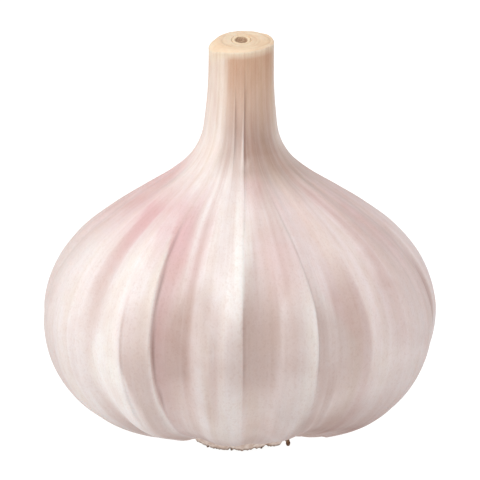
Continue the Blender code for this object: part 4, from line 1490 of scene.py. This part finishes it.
tree.links.new(bump, shader.inputs["Normal"])
for piece in (cork_plate, dry_roots):
    piece.data.materials.append(cork_and_root)
print("cork_and_root has", len(tree.nodes), "nodes")

# %% [markdown]
# ## The torn hem
#
# The innermost sheaths tore off round the plate and left a ragged hem. It is a ring of thin
# skin that bends inwards from under the cloves: the outer face down to the torn edge, and the
# inner face back up, a tenth of a millimetre behind it. Waves of many lengths round the ring
# give the tear.

# %% Ragged hem
HEM_COLUMNS = 540
HEM_STEPS = 10
HEM_THICKNESS = 0.10 * MM
HEM_RADIUS = 7.8 * MM
HEM_DRAW_IN = 1.35 * MM
HEM_TOP = 2.75 * MM
HEM_LOWEST = 0.12 * MM
HEM_TEAR = 0.60 * MM
HEM_SEED = 17

hem_degrees = np.linspace(-180.0, 180.0, HEM_COLUMNS, endpoint=False)[None, :]
hem_turn = np.radians(hem_degrees)
chance = np.random.default_rng(HEM_SEED)
tear = 0.0
for wave in (3, 5, 8, 13, 21, 34, 55, 89):
    phase = chance.uniform(0, 2 * math.pi)
    tear = tear + np.cos(wave * hem_turn + phase) * chance.uniform(0.5, 1.0) / wave**0.45
tear = (tear - tear.min()) / (tear.max() - tear.min())
hem_low = HEM_LOWEST + HEM_TEAR * tear**1.5
sway = 0.15 * MM * np.sin(7 * hem_turn) + 0.10 * MM * np.sin(17 * hem_turn + 1.0)
hem_down = np.linspace(0.0, 1.0, HEM_STEPS)[:, None]
hem_z = HEM_TOP + (hem_low - HEM_TOP) * hem_down
hem_r = HEM_RADIUS - HEM_DRAW_IN * hem_down**1.6 + sway * hem_down
outer = polar(hem_degrees, hem_r, hem_z)
inner = polar(hem_degrees, hem_r - HEM_THICKNESS, hem_z)[::-1]
torn_hem = new_piece("torn_hem", [closed_surface(np.concatenate([outer, inner]))])

# %% [markdown]
# This skin is the same dead leaf, but it lay in the soil. It is tan, browner towards the torn
# edge, and mottled by blotches of about a millimetre.

# %% Material of the torn hem
HEM_BLOTCH = 0.9 * MM

soiled_leaf_skin, tree, shader = new_material(
    "soiled_leaf_skin", Roughness=0.65, Specular_IOR_Level=0.25
)
down_share = np.repeat(np.concatenate([hem_down, hem_down[::-1]]), HEM_COLUMNS, axis=1)
keep_attribute(torn_hem.data, "down", down_share)
position = add(tree, "ShaderNodeTexCoord", give="Object")
inputs = {"Vector": position, "Scale": 1 / HEM_BLOTCH, "Detail": 4.0}
blotch = add(tree, "ShaderNodeTexNoise", inputs)
tan_tone = add(
    tree,
    "ShaderNodeValToRGB",
    {"Fac": blotch},
    stops=((0.34, "C4AA9A"), (0.50, "D9C4B8"), (0.66, "E6D6CB")),
)
kept = add(tree, "ShaderNodeAttribute", give="Fac", attribute_name="down")
amount = add(
    tree,
    "ShaderNodeMapRange",
    {"Value": kept, "From Min": 0.82, "From Max": 0.99, "To Min": 0.0, "To Max": 0.95},
)
inputs = {0: amount, 6: tan_tone, 7: linear("6E523D")}
colour = add(tree, "ShaderNodeMix", inputs, give=2, data_type="RGBA")
tree.links.new(colour, shader.inputs["Base Color"])
bump = add(tree, "ShaderNodeBump", {"Height": blotch, "Strength": 0.5, "Distance": 0.08 * MM})
tree.links.new(bump, shader.inputs["Normal"])
torn_hem.data.materials.append(soiled_leaf_skin)
print("soiled_leaf_skin has", len(tree.nodes), "nodes")

# %% [markdown]
# ## Floor
#
# The floor is a large sheet of milk glass, lit from below like a light table in a studio. So
# it stays white in the picture, and the bulb throws hardly any shadow. The light that reaches
# the bulb from below is part of the surroundings, so the sheet itself is kept out of it.

# %% Floor
FLOOR_WIDTH = 8.0
FLOOR_GLOW = 0.97

bpy.ops.mesh.primitive_plane_add(size=FLOOR_WIDTH)
floor = bpy.context.object
floor.name = "floor"
lit_milk_glass, tree, shader = new_material(
    "lit_milk_glass",
    Base_Color=linear("808080"),
    Roughness=0.9,
    Specular_IOR_Level=0.0,
    Emission_Color=linear("FFFFFF"),
    Emission_Strength=FLOOR_GLOW,
)
floor.data.materials.append(lit_milk_glass)
floor.visible_diffuse = False
floor.visible_glossy = False
floor.visible_shadow = False
floor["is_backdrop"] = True
print("the floor is", round(floor.dimensions.x, 1), "m wide")

# %% [markdown]
# ## Light
#
# The bulb stands in white surroundings, which are brighter below, where the light table is,
# than above. Two broad lamps model its form: one above and in front, and one at the left.

# %% Light
TABLE_GLOW = 0.92
ROOM_GLOW = 0.60
HORIZON = 0.1
LAMP_SIZE = 0.35
LAMP_TARGET = Vector((0.0, 0.0, 0.03))

surroundings = bpy.data.worlds.new("surroundings")
bpy.context.scene.world = surroundings
surroundings.use_nodes = True
tree = surroundings.node_tree
direction = add(tree, "ShaderNodeTexCoord", give="Generated")
upwards = add(tree, "ShaderNodeSeparateXYZ", {"Vector": direction}, give="Z")
glow = add(
    tree,
    "ShaderNodeMapRange",
    {
        "Value": upwards,
        "From Min": -HORIZON,
        "From Max": HORIZON,
        "To Min": TABLE_GLOW,
        "To Max": ROOM_GLOW,
    },
)
backdrop = tree.nodes["Background"]
backdrop.inputs["Color"].default_value = linear("FFFFFF")
tree.links.new(glow, backdrop.inputs["Strength"])


def lamp(name, place, watts):
    """A square area lamp that faces the bulb."""
    light = bpy.data.lights.new(name, "AREA")
    light.size = LAMP_SIZE
    light.energy = watts
    made = bpy.data.objects.new(name, light)
    bpy.context.scene.collection.objects.link(made)
    made.location = place
    made.rotation_euler = (LAMP_TARGET - Vector(place)).to_track_quat("-Z", "Y").to_euler()


lamp("top_lamp", (0.0, -0.30, 0.60), 1.70)
lamp("left_lamp", (-0.60, -0.16, 0.28), 1.35)
bpy.context.scene.view_settings.view_transform = "Standard"

# %% [markdown]
# ## Camera
#
# The camera looks from the front, 12 degrees above the horizon, from 0.6 m away with a long
# lens. The lens is worked out from the size in the picture: 6.56 pixels to a millimetre in a
# picture 480 pixels wide.

# %% Camera
PICTURE_WIDTH = 480
PIXELS_PER_MM = 6.56
LOOKING_DOWN = math.radians(12.0)
DISTANCE = 0.6
AIM_HEIGHT = 32.0 * MM
AIM_ROW = 238
SENSOR_WIDTH = 36.0

camera_data = bpy.data.cameras.new("camera")
camera_data.sensor_width = SENSOR_WIDTH
camera_data.lens = SENSOR_WIDTH * PIXELS_PER_MM * (DISTANCE / MM) / PICTURE_WIDTH
camera_data.shift_y = -(PICTURE_WIDTH / 2 - AIM_ROW) / PICTURE_WIDTH
camera = bpy.data.objects.new("camera", camera_data)
bpy.context.scene.collection.objects.link(camera)
camera.location = (
    0.0,
    -DISTANCE * math.cos(LOOKING_DOWN),
    AIM_HEIGHT + DISTANCE * math.sin(LOOKING_DOWN),
)
camera.rotation_euler = (math.pi / 2 - LOOKING_DOWN, 0.0, 0.0)
bpy.context.scene.camera = camera
print("lens of", round(camera_data.lens, 1), "mm")

# %% [markdown]
# ## Sizes
#
# The dressed bulb has to be as big as the frame, so both boxes are printed side by side.

# %% Sizes and finish
visual_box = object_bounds()
for axis, name in enumerate("XYZ"):
    before, after = (round((box[1][axis] - box[0][axis]) / MM, 2) for box in (cad_box, visual_box))
    print(name, "frame", before, "mm, dressed", after, "mm")
